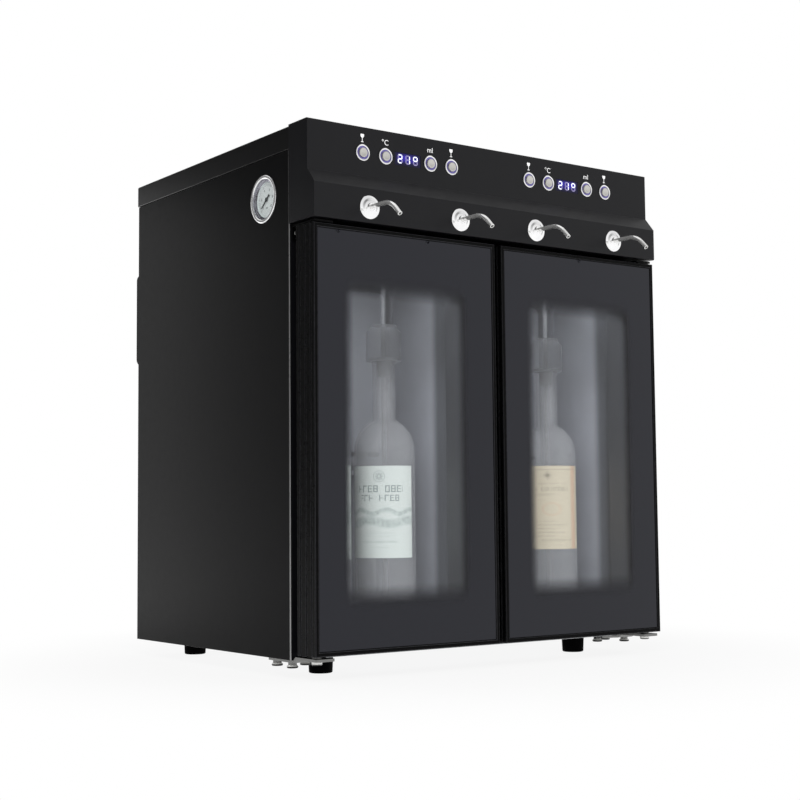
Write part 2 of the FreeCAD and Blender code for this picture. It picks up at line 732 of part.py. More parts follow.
def liner(side):
    """Compartment liner: a sheet bent round all four sides, with a front flange, and a rear sheet."""
    wrap = joined(room_block(side, LINER_T, y_room, y_wall),
                  room_block(side, LINER_FLANGE, y_room, y_room + LINER_T))
    cuts = [room_block(side, 0, y_room - 1, y_wall + 1)]
    for x in x_bottles:
        cuts.append(rod(RISER_R + FIT, V(side * x, y_bottle, z_room_top - 1), UP, 2 * LINER_T))
        cuts.append(rod(GAS_TUBE_R + FIT, V(side * x + GAS_TUBE_X, y_bottle, z_room_top - 1), UP,
                        2 * LINER_T))
    half = BLOCK / 2 + FIT
    opening = box(side * x_room - half, side * x_room + half, y_wall - 1, y_wall + LINER_T + 1,
                  z_stack - half, z_stack + half)
    rear = room_block(side, LINER_T, y_wall, y_wall + LINER_T)
    return [all_cut(wrap, cuts), rear.cut(opening)]


def insulation():
    """Foam round both liners, open where the cold blocks and the tubes pass."""
    y_face = y_room + LINER_T
    x = x_inside - FIT
    foam = box(-x, x, y_face, y_foam_back, z_foam, z_foam_top)
    half = BLOCK / 2 + FIT
    cuts = []
    for side in SIDES:
        cuts.append(room_block(side, LINER_T + FIT, y_face - 1, y_wall + LINER_T))
        cuts.append(box(side * x_room - half, side * x_room + half, y_wall, y_foam_back + 1,
                        z_stack - half, z_stack + half))
        for bottle in x_bottles:
            cuts.append(rod(RISER_R + FIT, V(side * bottle, y_bottle, z_room_top), UP, FOAM_OVER + 1))
            cuts.append(rod(GAS_TUBE_R + FIT, V(side * bottle + GAS_TUBE_X, y_bottle, z_room_top),
                            UP, FOAM_OVER + 1))
    return all_cut(foam, cuts)


def tray(side):
    """Bottle tray: a moulded platform, hollow below, with two round seats and air slots."""
    half = room_w / 2 - TRAY_GAP
    xc = side * x_room
    y0 = y_room + TRAY_FRONT
    r = ROOM_R
    body = rounded_block(xc - half, xc + half, z_room, z_tray + r, y0, y0 + TRAY_D, r)
    body = body.cut(box(xc - half - 1, xc + half + 1, y0 - 1, y0 + TRAY_D + 1, z_tray, z_tray + 2 * r))
    inset = r + TRAY_WALL
    floor = z_bottle - TRAY_WALL
    cuts = [box(xc - half + inset, xc + half - inset, y0 + TRAY_WALL, y0 + TRAY_D - TRAY_WALL,
                z_room - 1, floor)]
    for bottle in x_bottles:
        cuts.append(rod(BOTTLE_R + TRAY_GAP, V(side * bottle, y_bottle, z_bottle), UP, TRAY_SEAT + 1))
    half_x, half_y = TRAY_SLOT[0] / 2, TRAY_SLOT[1] / 2
    for step in (-1, 0, 1):
        y = y0 + TRAY_D / 2 + step * TRAY_SLOT_PITCH
        cuts.append(box(xc - half_x, xc + half_x, y - half_y, y + half_y, floor - 1, z_tray + 1))
    return all_cut(body, cuts)


def light_bar(side):
    """Light bar along the ceiling behind the front edge, with its lens facing down."""
    xc, y0 = side * x_room, y_room + LIGHT_Y
    z0 = z_room_top - LIGHT_H
    points = [(y0, z_room_top), (y0, z_room_top - LIGHT_H * LIGHT_NOSE),
              (y0 + LIGHT_D * LIGHT_SLANT, z0), (y0 + LIGHT_D, z0), (y0 + LIGHT_D, z_room_top)]
    return across(points, xc - light_w / 2, xc + light_w / 2)


def shoulder_arc(radius, r_neck):
    """The bottle's round shoulder on one radius, from its side up to a neck radius."""
    r_centre = BOTTLE_R - SHOULDER_R
    angle = math.acos((r_neck - r_centre) / radius)
    points = [V(r_centre + radius * math.cos(a), 0, BODY_H + radius * math.sin(a))
              for a in (0, angle / 2, angle)]
    return points


def bottle(x):
    """Glass bottle: a ring foot round a raised base, high round shoulders and a lip band."""
    outer = shoulder_arc(SHOULDER_R, NECK_R)
    inner = shoulder_arc(SHOULDER_R - BOTTLE_WALL, NECK_BORE_R)[::-1]
    top, wall = BOTTLE_H, BOTTLE_WALL
    over = [outer[-1], V(NECK_R, 0, top - LIP_BAND), V(LIP_R, 0, top - LIP_BAND + 1), V(LIP_R, 0, top),
            V(NECK_BORE_R, 0, top), inner[0]]
    under = [inner[-1], V(BOTTLE_R - wall, 0, 2 * wall), V(BOTTLE_R - BOTTLE_FOOT, 0, wall + 1),
             V(0, 0, PUNT + wall), V(0, 0, PUNT), V(BOTTLE_R - BOTTLE_FOOT, 0, 0),
             V(BOTTLE_R - wall, 0, 0), V(BOTTLE_R, 0, wall), outer[0]]
    edges = [Part.Arc(*outer).toShape()]
    edges += [Part.LineSegment(a, b).toShape() for a, b in zip(over, over[1:])]
    edges.append(Part.Arc(*inner).toShape())
    edges += [Part.LineSegment(a, b).toShape() for a, b in zip(under, under[1:])]
    solid = Part.Face(Part.Wire(edges)).revolve(V(0, 0, 0), UP, 360)
    solid.Placement = FreeCAD.Placement(V(x, y_bottle, z_bottle), FreeCAD.Rotation())
    return solid


def stopper(x):
    """Stopper: a plug in the neck under a wide cap with a skirt, bored for the two tubes."""
    r, h = STOPPER_R, STOPPER_H
    r_top, h_shoulder = r - STOPPER_NECK, h - STOPPER_SHOULDER
    bore, plug = RISER_R + TUBE_FIT, NECK_BORE_R - TUBE_FIT
    profile = [(bore, -STOPPER_PLUG), (plug - 1, -STOPPER_PLUG), (plug, 0), (LIP_R + 1, 0),
               (LIP_R + 1, -STOPPER_SKIRT), (r, -STOPPER_SKIRT), (r, h_shoulder),
               (r - 1.2, h_shoulder + 1.8), (r_top, h - STOPPER_SHOULDER / 2), (r_top, h), (bore, h)]
    solid = turned(profile, V(x, y_bottle, z_lip), UP)
    port = rod(GAS_TUBE_R + TUBE_FIT, V(x + GAS_TUBE_X, y_bottle, z_stopper - 10), UP, 12)
    return solid.cut(port)


# ---------------------------------------------------------------- drink and gas lines
def riser(x):
    """Dip tube and riser in one: from the bottle's base up to its valve."""
    start = V(x, y_bottle, z_bottle + PUNT + BOTTLE_WALL + DIP_GAP)
    return rod(RISER_R, start, UP, z_foam_top - start.z)


def hose(tap_x, bottle_x):
    """Hose from a valve's nipple to the stub of its tap."""
    tap_end = y_low + HEAD_WALL + 2
    valve_end = y_bottle - VALVE_D / 2
    points = [V(tap_x, tap_end, z_tap), V(tap_x, y_panel + HOSE_RUN, z_tap),
              V(bottle_x, valve_end - HOSE_RUN, z_tap), V(bottle_x, valve_end, z_tap)]
    return piped(points, HOSE_BEND_R, HOSE_R, TAP_R + HOSE_FIT)


def wine_tubes():
    """The four risers and the four hoses to the taps."""
    return [riser(x) for x in bottle_places()] + [hose(*place) for place in tap_places()]


def gas_riser(x):
    """Gas tube from a stopper up and back to the manifold."""
    x_gas = x + GAS_TUBE_X
    z_out = z_foam_top + MANIFOLD_H / 2
    points = [V(x_gas, y_bottle, z_stopper - 8), V(x_gas, y_bottle, z_out),
              V(x_gas, y_bottle + MANIFOLD_Y - MANIFOLD_S / 2, z_out)]
    return piped(points, GAS_BEND_R, GAS_TUBE_R)


def gas_tubes():
    """Four gas risers, the line to the gauge and the line from the inlet."""
    z_line = z_foam_top + MANIFOLD_H / 2
    y_line = y_bottle + MANIFOLD_Y
    x_end = max(x_bottles) + GAS_TUBE_X + MANIFOLD_OVER
    x_turn = x_end + GAS_TURN
    gauge = [V(-x_end, y_line, z_line), V(-x_turn, y_line, z_line),
             V(-x_turn, y_gauge, z_gauge), V(-x_side + GAUGE_CASE_L, y_gauge, z_gauge)]
    z_inlet = z_head + INLET_RISE
    supply = [V(x_end, y_line, z_line), V(x_turn, y_line, z_line),
              V(x_inlet, y_line + SUPPLY_RUN, z_inlet), V(x_inlet, y_back - INLET_IN, z_inlet)]
    return ([gas_riser(x) for x in bottle_places()]
            + [piped(gauge, GAS_BEND_R, GAS_TUBE_R), piped(supply, GAS_BEND_R, GAS_TUBE_R)])


def wine_valve(x):
    """Pinch valve: a body with an outlet nipple under its coil."""
    z0, z1 = z_foam_top, z_foam_top + VALVE_H
    y0, y1 = y_bottle - VALVE_D / 2, y_bottle + VALVE_D / 2
    body = rounded_block(x - VALVE_W / 2, x + VALVE_W / 2, z0, z1, y0, y1, 2)
    coil = rod(COIL_R, V(x, y_bottle, z1 - 1), UP, COIL_H + 1)
    nipple = rod(TAP_R, V(x, y0 + 1, z_tap), FOREWARD, NIPPLE_L + 1)
    gas_way = box(x + GAS_TUBE_X - GAS_TUBE_R - FIT, x + VALVE_W, y0 - 1, y1 + 1, z0 - 1, z1 + 1)
    return joined(body, coil, nipple).cut(gas_way)


def gas_manifold():
    """Manifold bar with its outlets, and the regulator with an adjusting knob on top."""
    x = max(x_bottles) + GAS_TUBE_X + MANIFOLD_OVER
    y, h = y_bottle + MANIFOLD_Y, MANIFOLD_S / 2
    z0 = z_foam_top
    bar = box(-x, x, y - h, y + h, z0, z0 + MANIFOLD_H)
    knob, shoulder = REGULATOR_R * 0.7, REGULATOR_H * 0.6
    profile = [(0, 0), (REGULATOR_R, 0), (REGULATOR_R, shoulder - 4), (knob, shoulder),
               (knob, REGULATOR_H - 2), (knob - 2, REGULATOR_H), (0, REGULATOR_H)]
    regulator = turned(profile, V(0, y, z0 + MANIFOLD_H), UP)
    return [bar, regulator]


def gas_inlet():
    """Bulkhead fitting in the back panel that takes the gas hose."""
    z = z_head + INLET_RISE
    nut, floor = INLET_R + INLET_NUT, INLET_OUT - INLET_BORE_L
    profile = [(0, -INLET_IN), (INLET_R, -INLET_IN), (INLET_R, 0), (nut, 0), (nut, 5), (INLET_R, 6),
               (INLET_R, INLET_OUT - 1), (INLET_R - 1, INLET_OUT), (INLET_BORE_R, INLET_OUT),
               (INLET_BORE_R, floor), (0, floor)]
    return turned(profile, V(x_inlet, y_back, z), BACKWARD)


def power_inlet():
    """Mains socket: a flange on the back panel, and a recess with cut corners and three blades."""
    z = z_cabinet + SOCKET_Z
    w, h, t = SOCKET_W / 2, SOCKET_H / 2, SOCKET_WALL
    flange = rounded_block(x_socket - w - SOCKET_FLANGE, x_socket + w + SOCKET_FLANGE,
                           z - h - SOCKET_FLANGE, z + h + SOCKET_FLANGE, y_back, y_back + 3, 3)
    y_floor = y_back + 3 - SOCKET_DEPTH
    body = box(x_socket - w, x_socket + w, y_floor - 5, y_back + 1, z - h, z + h)
    outline = [(-w, -h), (w, -h), (w, h - SOCKET_CUT), (w - SOCKET_CUT, h), (SOCKET_CUT - w, h),
               (-w, h - SOCKET_CUT)]
    recess = outline_face([V(x_socket + px * (1 - t / w), y_floor, z + pz * (1 - t / h))
                           for px, pz in outline]).extrude(V(0, SOCKET_DEPTH + 1, 0))
    across_x, along, high = SOCKET_PIN
    blades = [box(x_socket + dx - across_x / 2, x_socket + dx + across_x / 2, y_floor - 1,
                  y_floor + along, z + dz - high / 2, z + dz + high / 2) for dx, dz in SOCKET_PINS]
    return joined(joined(flange, body).cut(recess), *blades)


def power_supply():
    """Power supply in its vented case, on the base plate."""
    w, d, h = SUPPLY
    y1 = y_back - SHEET - SUPPLY_REAR
    z0 = z_cabinet + SHEET
    case = box(x_supply - w / 2, x_supply + w / 2, y1 - d, y1, z0, z0 + h)
    pitch = 3 * SLOT_H
    cuts = []
    for i in range(1, int(w // pitch)):
        x = x_supply - w / 2 + i * pitch
        cuts.append(box(x, x + SLOT_H, y1 - d + pitch, y1 - pitch, z0 + h - REAR_BOX_WALL, z0 + h + 1))
    return all_cut(case, cuts)


# ---------------------------------------------------------------- cooling
def comb(x, z, width, height, y0, y1, fins):
    """Upright fins spread over a width."""
    pitch = (width - FIN_T) / (fins - 1)
    return [box(x - width / 2 + i * pitch, x - width / 2 + i * pitch + FIN_T, y0, y1,
                z - height / 2, z + height / 2) for i in range(fins)]


def cooling_stacks():
    """For each compartment a finned cold plate with its block, and the thermoelectric module."""
    y_end = y_foam_back - 1.0
    solids = []
    for side in SIDES:
        x = side * x_room
        plate = box(x - COLD_PLATE_W / 2, x + COLD_PLATE_W / 2, y_wall - COLD_PLATE_T, y_wall,
                    z_stack - COLD_PLATE_H / 2, z_stack + COLD_PLATE_H / 2)
        block = box(x - BLOCK / 2, x + BLOCK / 2, y_wall - 1, y_end, z_stack - BLOCK / 2,
                    z_stack + BLOCK / 2)
        fins = comb(x, z_stack, COLD_PLATE_W, COLD_PLATE_H, y_wall - COLD_PLATE_T - COLD_FIN_L,
                    y_wall - COLD_PLATE_T + 0.5, COLD_FINS)
        solids.append(joined(plate, block, *fins))
        solids.append(box(x - MODULE / 2, x + MODULE / 2, y_end, y_end + MODULE_T,
                          z_stack - MODULE / 2, z_stack + MODULE / 2))
    return solids


def heat_sink(side):
    """Finned heat sink on the hot side of the module."""
    x, y0 = side * x_room, y_foam_back - 1.0 + MODULE_T
    base = box(x - SINK_W / 2, x + SINK_W / 2, y0, y0 + SINK_BASE, z_stack - SINK_H / 2,
               z_stack + SINK_H / 2)
    return joined(base, *comb(x, z_stack, SINK_W, SINK_H, y0 + SINK_BASE - 0.5,
                              y0 + SINK_BASE + SINK_FIN_L, SINK_FINS))


def spider(x, y0, y1, z, hub_r, bore_r):
    """Four spokes and a hub disc across a round opening."""
    arms = [box(x - bore_r - 1, x + bore_r + 1, y0, y1, z - SPOKE_W / 2, z + SPOKE_W / 2),
            box(x - SPOKE_W / 2, x + SPOKE_W / 2, y0, y1, z - bore_r - 1, z + bore_r + 1)]
    return [rod(hub_r, V(x, y0, z), BACKWARD, y1 - y0)] + arms


def duct_cover(side):
    """Air duct cover on the rear wall: fan opening above, outlet slots below, hollow behind."""
    x, z1 = side * x_room, z_room_top - DUCT_TOP
    z0, y0 = z1 - DUCT_H, y_wall - DUCT_D
    shell = rounded_block(x - duct_w / 2, x + duct_w / 2, z0, z1, y0, y_wall, DUCT_R)
    front = [e for e in shell.Edges
             if abs(e.BoundBox.YMin - y0) < 0.01 and abs(e.BoundBox.YMax - y0) < 0.01]
    shell = shell.makeFillet(DUCT_WALL, front)
    t = DUCT_WALL
    shell = shell.cut(rounded_block(x - duct_w / 2 + t, x + duct_w / 2 - t, z0 + t, z1 - t,
                                    y0 + t, y_wall + 1, DUCT_R - t))
    shell = shell.cut(rod(SMALL_BORE_R, V(x, y0 - 1, z_stack), BACKWARD, t + 2))
    pin_end = y0 + SPOKE_T + FAN_CLEAR + SMALL_ROTOR_D - ROTOR_CAP
    pin = rod(PIN_R, V(x, y0, z_stack), BACKWARD, pin_end - y0)
    shell = joined(shell, pin, *spider(x, y0, y0 + SPOKE_T, z_stack, SMALL_HUB_R, SMALL_BORE_R))
    cuts = []
    for row in range(DUCT_SLOTS):
        for half in SIDES:
            z = z0 + DUCT_SLOT_Z + row * 2 * SLOT_PITCH
            cuts.append(slot(x + half * duct_w / 4, z, duct_w * DUCT_SLOT_SHARE, 1.5 * SLOT_H,
                             y0 - 1, y0 + t + 1))
    return all_cut(shell, cuts)


def blade(hub_r, tip_r, depth):
    """A twisted blade along +X, on an axis along Z: pitched steeply at the hub, flatter at the tip."""
    sections = []
    for radius, pitch in ((hub_r - 1.0, BLADE_ROOT_DEG), (tip_r, BLADE_TIP_DEG)):
        a = math.radians(pitch)
        along = V(0, math.cos(a), math.sin(a))
        through = V(0, -math.sin(a), math.cos(a))
        half = (depth / 2 - BLADE_T) / math.sin(math.radians(BLADE_ROOT_DEG))
        middle = V(radius, 0, depth / 2)
        corners = [middle + along * (su * half) + through * (sv * BLADE_T / 2)
                   for su, sv in ((-1, -1), (1, -1), (1, 1), (-1, 1))]
        sections.append(Part.makePolygon(corners + corners[:1]))
    return Part.makeLoft(sections, True, True)


def rotor(at, direction, hub_r, tip_r, depth):
    """Fan rotor: a cupped hub with a blind bore for its pin, and twisted blades."""
    bore = PIN_R + PIN_CLEAR
    cap = depth - ROTOR_CAP + FIT
    profile = [(bore, 0), (hub_r, 0), (hub_r, depth - 1.2), (hub_r - 1.2, depth), (0, depth),
               (0, cap), (bore, cap)]
    hub = turned(profile, V(0, 0, 0), UP)
    blades = []
    for i in range(BLADES):
        one = blade(hub_r, tip_r, depth)
        one.rotate(V(0, 0, 0), UP, 360.0 * i / BLADES)
        blades.append(one)
    ring = joined(hub, *blades)
    ring.Placement = FreeCAD.Placement(at, FreeCAD.Rotation(UP, direction))
    return ring


def rear_rotor(side):
    """Rotor of a rear fan, on the pin of its frame's spider."""
    y_spider = y_back + FAN_D - SPOKE_T
    return rotor(V(side * x_fan, y_spider - FAN_CLEAR, z_fan), FOREWARD, FAN_HUB_R, ROTOR_R, ROTOR_D)


def circulation_rotor(side):
    """Rotor of a circulation fan, on the pin of the duct cover's spider."""
    y0 = y_wall - DUCT_D + SPOKE_T + FAN_CLEAR
    return rotor(V(side * x_room, y0, z_stack), BACKWARD, SMALL_HUB_R, SMALL_ROTOR_R, SMALL_ROTOR_D)


def rear_fan_frame(side):
    """Square fan frame on the back panel: round duct, rear spider, pin and corner holes."""
    x, h = side * x_fan, FAN_W / 2
    y0, y1 = y_back, y_back + FAN_D
    frame = rounded_block(x - h, x + h, z_fan - h, z_fan + h, y0, y1, 5)
    frame = frame.cut(rod(FAN_BORE_R, V(x, y0 - 1, z_fan), BACKWARD, FAN_D + 2))
    pin_l = FAN_CLEAR + ROTOR_D - ROTOR_CAP
    pin = rod(PIN_R, V(x, y1 - SPOKE_T + 1, z_fan), FOREWARD, pin_l + 1)
    frame = joined(frame, pin, *spider(x, y1 - SPOKE_T, y1, z_fan, FAN_HUB_R, FAN_BORE_R))
    reach = h - FAN_HOLE_INSET
    holes = [rod(FAN_HOLE_R, V(x + sx * reach, y0 - 1, z_fan + sz * reach), BACKWARD, FAN_D + 2)
             for sx in SIDES for sz in SIDES]
    return all_cut(frame, holes)


# ---------------------------------------------------------------- tap head
def head_outline(inset):
    """(y, z) points of the head's front, moved inwards by a wall."""
    lean = math.atan2(HEAD_STEP, HEAD_SLOPE_H)
    shift = inset * math.tan(lean / 2)
    return [(y_low + inset, z_head + inset), (y_low + inset, z_slope + shift),
            (y_high + inset, z_high + shift), (y_high + inset, z_top - inset)]


def fascia():
    """Head shell: upright lower face, slope and upper face, closed at its ends and below."""
    y_end = y_panel - HEAD_SEAM
    outer = head_outline(0) + [(y_end, z_top), (y_end, z_head)]
    shell = across(outer, -x_head, x_head, [HEAD_EDGE_R, 0, 0, HEAD_EDGE_R, 0, 0])
    inner = head_outline(HEAD_WALL)
    inner += [(y_end + 5, z_top - HEAD_WALL), (y_end + 5, z_head + HEAD_WALL)]
    shell = shell.cut(across(inner, -x_head + HEAD_WALL, x_head - HEAD_WALL))
    x_wall = x_head - HEAD_WALL
    # the lower wall stops at the front frame
    shell = shell.cut(box(-x_wall, x_wall, y_frame, y_panel, z_head - 1, z_head + 2 * HEAD_WALL))
    z_post = z_button - BOARD_H / 2 + POST_R + 1
    posts = [rod(POST_R, V(x, y_high + 1, z_post), BACKWARD, BOARD_BACK - 1) for x in board_posts()]
    shell = joined(shell, *posts)
    cuts = [rod(BEZEL_BARREL_R + FIT / 2, V(x, y_high - 1, z_button), BACKWARD, HEAD_WALL + 2)
            for x in button_places()]
    cuts += [box(side * DISPLAY_X - DISPLAY_W / 2 - FIT, side * DISPLAY_X + DISPLAY_W / 2 + FIT,
                 y_high - 1, y_high + HEAD_WALL + 1, z_button - DISPLAY_H / 2 - FIT,
                 z_button + DISPLAY_H / 2 + FIT) for side in SIDES]
    cuts += [rod(TAP_R + SCREW_FIT, V(x, y_low - 1, z_tap), BACKWARD, HEAD_WALL + 2)
             for x, _ in tap_places()]
    return all_cut(shell, cuts)


def board_posts():
    """X of the posts that carry the control board."""
    x = x_head - HEAD_WALL - BOARD_MARGIN_X - 2 * POST_R
    return [-x, -x / 3, x / 3, x]


def control_board():
    """Control board behind the upper face, with a small switch under each button."""
    x = x_head - HEAD_WALL - BOARD_MARGIN_X
    board = box(-x, x, y_board, y_board + BOARD_T, z_button - BOARD_H / 2, z_button + BOARD_H / 2)
    half = SWITCH_W / 2
    switches = [box(px - half, px + half, y_board - SWITCH_H, y_board + BOARD_T / 2,
                    z_button - half, z_button + half) for px in button_places()]
    return joined(board, *switches)


def display(side):
    """Display block in its window, seated on the control board."""
    x, w, h = side * DISPLAY_X, DISPLAY_W / 2, DISPLAY_H / 2
    front = box(x - w, x + w, y_high + DISPLAY_SET, y_board, z_button - h, z_button + h)
    w, h = w + DISPLAY_RIM, h + DISPLAY_RIM
    foot = box(x - w, x + w, y_board - DISPLAY_FOOT, y_board, z_button - h, z_button + h)
    return joined(front, foot)


def bezel(x):
    """Button bezel: a round rim on the face and a barrel back to the board."""
    profile = [(BEZEL_BORE_R, -BOARD_BACK), (BEZEL_BARREL_R, -BOARD_BACK), (BEZEL_BARREL_R, 0),
               (BEZEL_R, 0), (BEZEL_R, BEZEL_PROUD - BEZEL_EDGE), (BEZEL_R - BEZEL_EDGE, BEZEL_PROUD),
               (BEZEL_BORE_R, BEZEL_PROUD)]
    return turned(profile, V(x, y_high, z_button), FOREWARD)


def light_ring(x):
    """Light ring between a bezel and its cap."""
    front = BEZEL_PROUD - RING_SET
    rear = front - RING_L
    profile = [(RING_R, rear), (BEZEL_BORE_R, rear), (BEZEL_BORE_R, front), (RING_R, front)]
    return turned(profile, V(x, y_high, z_button), FOREWARD)


def button_cap(x):
    """Button cap with a dished face, guided in the light ring, its stem over the switch."""
    r, front = RING_R - CAP_CLEAR, BEZEL_PROUD + CAP_PROUD
    stem_end = -BOARD_BACK + SWITCH_H + SWITCH_GAP + BUTTON_TRAVEL
    edge, dished = front - CAP_EDGE, front - CAP_EDGE
    profile = [(0, stem_end), (CAP_STEM_R, stem_end), (CAP_STEM_R, front - CAP_L),
               (r, front - CAP_L), (r, edge), (r - CAP_EDGE, front), (r - CAP_RIM, front), (0, dished)]
    return turned(profile, V(x, y_high, z_button), FOREWARD)


def tap_path(x):
    """Centre line of a spout, from its stub inside the head to its mouth."""
    y_bend = y_low - TAP_STRAIGHT
    reach = TAP_BEND_R * math.tan(bend / 2)
    corner = V(x, y_bend - reach, z_tap)
    down = V(0, -math.cos(bend), -math.sin(bend))
    return [V(x, y_low + TAP_STUB, z_tap), corner, corner + down * (reach + TAP_TAIL)]


def spout(x):
    """Pouring spout: a hollow tube, straight out of the head and then bent down."""
    return piped(tap_path(x), TAP_BEND_R, TAP_R, TAP_BORE_R)


def rosette(x):
    """Domed rosette on the head's lower face, with a collar round the spout."""
    bore = TAP_R + TUBE_FIT / 2
    collar, top = ROSETTE_COLLAR_R, ROSETTE_H + ROSETTE_COLLAR_H
    profile = [(bore, 0), (ROSETTE_R, 0), (ROSETTE_R, ROSETTE_EDGE), (ROSETTE_R - 3, ROSETTE_EDGE + 1),
               (collar + 1.5, ROSETTE_H - 0.6), (collar, ROSETTE_H), (collar - 0.6, top), (bore, top)]
    return turned(profile, V(x, y_low, z_tap), FOREWARD)


# ---------------------------------------------------------------- gauge
def gauge_axis_point(inward):
    """A point on the gauge's axis, measured inwards from the side panel's face."""
    return V(-x_side + inward, y_gauge, z_gauge)


def gauge_case():
    """Gauge case: a rolled bezel, a tapering recess, the body behind and the spindle."""
    out = V(-1, 0, 0)
    floor = -DIAL_SET - DIAL_T
    profile = [(0, -GAUGE_CASE_L), (GAUGE_CASE_R - 3, -GAUGE_CASE_L), (GAUGE_CASE_R, -GAUGE_CASE_L + 3),
               (GAUGE_CASE_R, 0), (GAUGE_R, 0), (GAUGE_R, GAUGE_PROUD - GAUGE_EDGE),
               (GAUGE_R - GAUGE_EDGE, GAUGE_PROUD), (GAUGE_THROAT_R + GAUGE_EDGE, GAUGE_PROUD),
               (GAUGE_THROAT_R, GAUGE_PROUD - GAUGE_EDGE),
               (GAUGE_THROAT_R, GAUGE_PROUD - LENS_SET - LENS_T), (DIAL_R, -DIAL_SET),
               (DIAL_R, floor), (0, floor)]
    case = turned(profile, gauge_axis_point(0), out)
    spindle = rod(SPINDLE_R, gauge_axis_point(DIAL_SET + DIAL_T + 1), out,
                  DIAL_T + 1 + NEEDLE_LIFT + NEEDLE_T + 0.2)
    return joined(case, spindle)


def gauge_dial():
    """Dial plate, seated on the floor of the recess."""
    at = gauge_axis_point(DIAL_SET + DIAL_T)
    plate = rod(DIAL_R - TUBE_FIT, at, V(-1, 0, 0), DIAL_T)
    return plate.cut(rod(SPINDLE_R + TUBE_FIT, at - V(-1, 0, 0), V(-1, 0, 0), 3 * DIAL_T))


def gauge_lens():
    """Clear lens in the mouth of the gauge."""
    front = GAUGE_PROUD - LENS_SET
    return rod(GAUGE_THROAT_R, gauge_axis_point(-front), V(1, 0, 0), LENS_T)


def gauge_needle():
    """Needle with a round hub on the spindle, a slim pointer and a wide tail."""
    t = NEEDLE_T
    bore = SPINDLE_R + PIN_CLEAR
    pointer = [(0, -1.1), (NEEDLE_L, -0.3), (NEEDLE_L, 0.3), (0, 1.1)]
    tail = [(0, -0.9), (0, 0.9), (-NEEDLE_TAIL, 1.3), (-NEEDLE_TAIL, -1.3)]
    parts = [upright(points, 0, t) for points in (pointer, tail)]
    needle = joined(rod(NEEDLE_HUB_R, V(0, 0, 0), UP, t), *parts)
    needle = needle.cut(rod(bore, V(0, 0, -1), UP, t + 2))
    # laid out flat with the pointer along +X; stood up so that it faces -X and points back and down
    needle.rotate(V(0, 0, 0), UP, 90 + NEEDLE_REST_DEG)
    needle.rotate(V(0, 0, 0), V(0, 1, 0), -90)
    needle.translate(gauge_axis_point(DIAL_SET - NEEDLE_LIFT))
    return needle


# ---------------------------------------------------------------- doors
def door_limits(side):
    """Left and right limits of a door."""
    xa, xb = side * DOOR_GAP / 2, side * x_side
    return min(xa, xb), max(xa, xb)


def door_frame(side):
    """Mitred door frame: glass rebate in front, grooves along the sides, bores for the hinge pins."""
    x0, x1 = door_limits(side)
    y0, y1 = y_door, y_door + DOOR_T
    y_glass = y0 + GLASS_SET
    profile = [(FRAME_EDGE, y0), (BORDER - FRAME_EDGE, y0), (BORDER, y_glass),
               (BORDER, y_glass + GLASS_T), (RAIL_W, y_glass + GLASS_T), (RAIL_W, y1), (0, y1)]
    half, floor = GROOVE_W / 2, GROOVE_W / 2 - GROOVE_D / 2
    for at in sorted(GROOVE_AT, reverse=True):
        profile += [(0, y0 + at + half), (GROOVE_D, y0 + at + floor),
                    (GROOVE_D, y0 + at - floor), (0, y0 + at - half)]
    profile.append((0, y0 + FRAME_EDGE))
    frame = mitred_ring(x0, x1, z_door, z_door_top, profile)
    x = side * x_pin
    bore = HINGE_PIN_R + HINGE_CLEAR
    cuts = [rod(bore, V(x, y_pin, z_door - 1), UP, HINGE_BORE + 1),
            rod(bore, V(x, y_pin, z_door_top - HINGE_BORE), UP, HINGE_BORE + 1)]
    return all_cut(frame, cuts)


def window_block(side, grow, y0, y1, radius):
    """The shape of a door's window, grown all round."""
    x = side * x_door
    z0 = z_door + WINDOW_Z
    return rounded_block(x - window_w / 2 - grow, x + window_w / 2 + grow, z0 - grow,
                         z0 + WINDOW_H + grow, y0, y1, radius)


def door_glazing(side):
    """The black front glass and the clear inner pane."""
    x0, x1 = door_limits(side)
    inset = BORDER + FIT
    y0 = y_door + GLASS_SET
    front = box(x0 + inset, x1 - inset, y0, y0 + GLASS_T, z_door + inset, z_door_top - inset)
    y_inner = y_door + DOOR_T + TUNNEL_BACK - INNER_PANE_SET - INNER_PANE_T
    inner = window_block(side, INNER_PANE_LAP - FIT, y_inner, y_inner + INNER_PANE_T, WINDOW_R)
    return [front, inner]


def door_liner(side):
    """Door panel behind the glass: the window tunnel, its raised rim and the inner pane's rebate."""
    x0, x1 = door_limits(side)
    y0, y1 = y_door + GLASS_SET + GLASS_T, y_door + DOOR_T
    y2 = y1 + TUNNEL_BACK
    body = box(x0 + RAIL_W, x1 - RAIL_W, y0, y1, z_door + RAIL_W, z_door_top - RAIL_W)
    rim = window_block(side, TUNNEL_WALL, y1 - 1, y2, WINDOW_R + TUNNEL_WALL)
    rear = [e for e in rim.Edges
            if abs(e.BoundBox.YMin - y2) < 0.01 and abs(e.BoundBox.YMax - y2) < 0.01]
    rim = rim.makeFillet(TUNNEL_EDGE_R, rear)
    y_pane = y2 - INNER_PANE_SET - INNER_PANE_T
    cuts = [window_block(side, 0, y0 - 1, y2 + 1, WINDOW_R),
            window_block(side, INNER_PANE_LAP, y_pane, y2 + 1, WINDOW_R)]
    return all_cut(joined(body, rim), cuts)


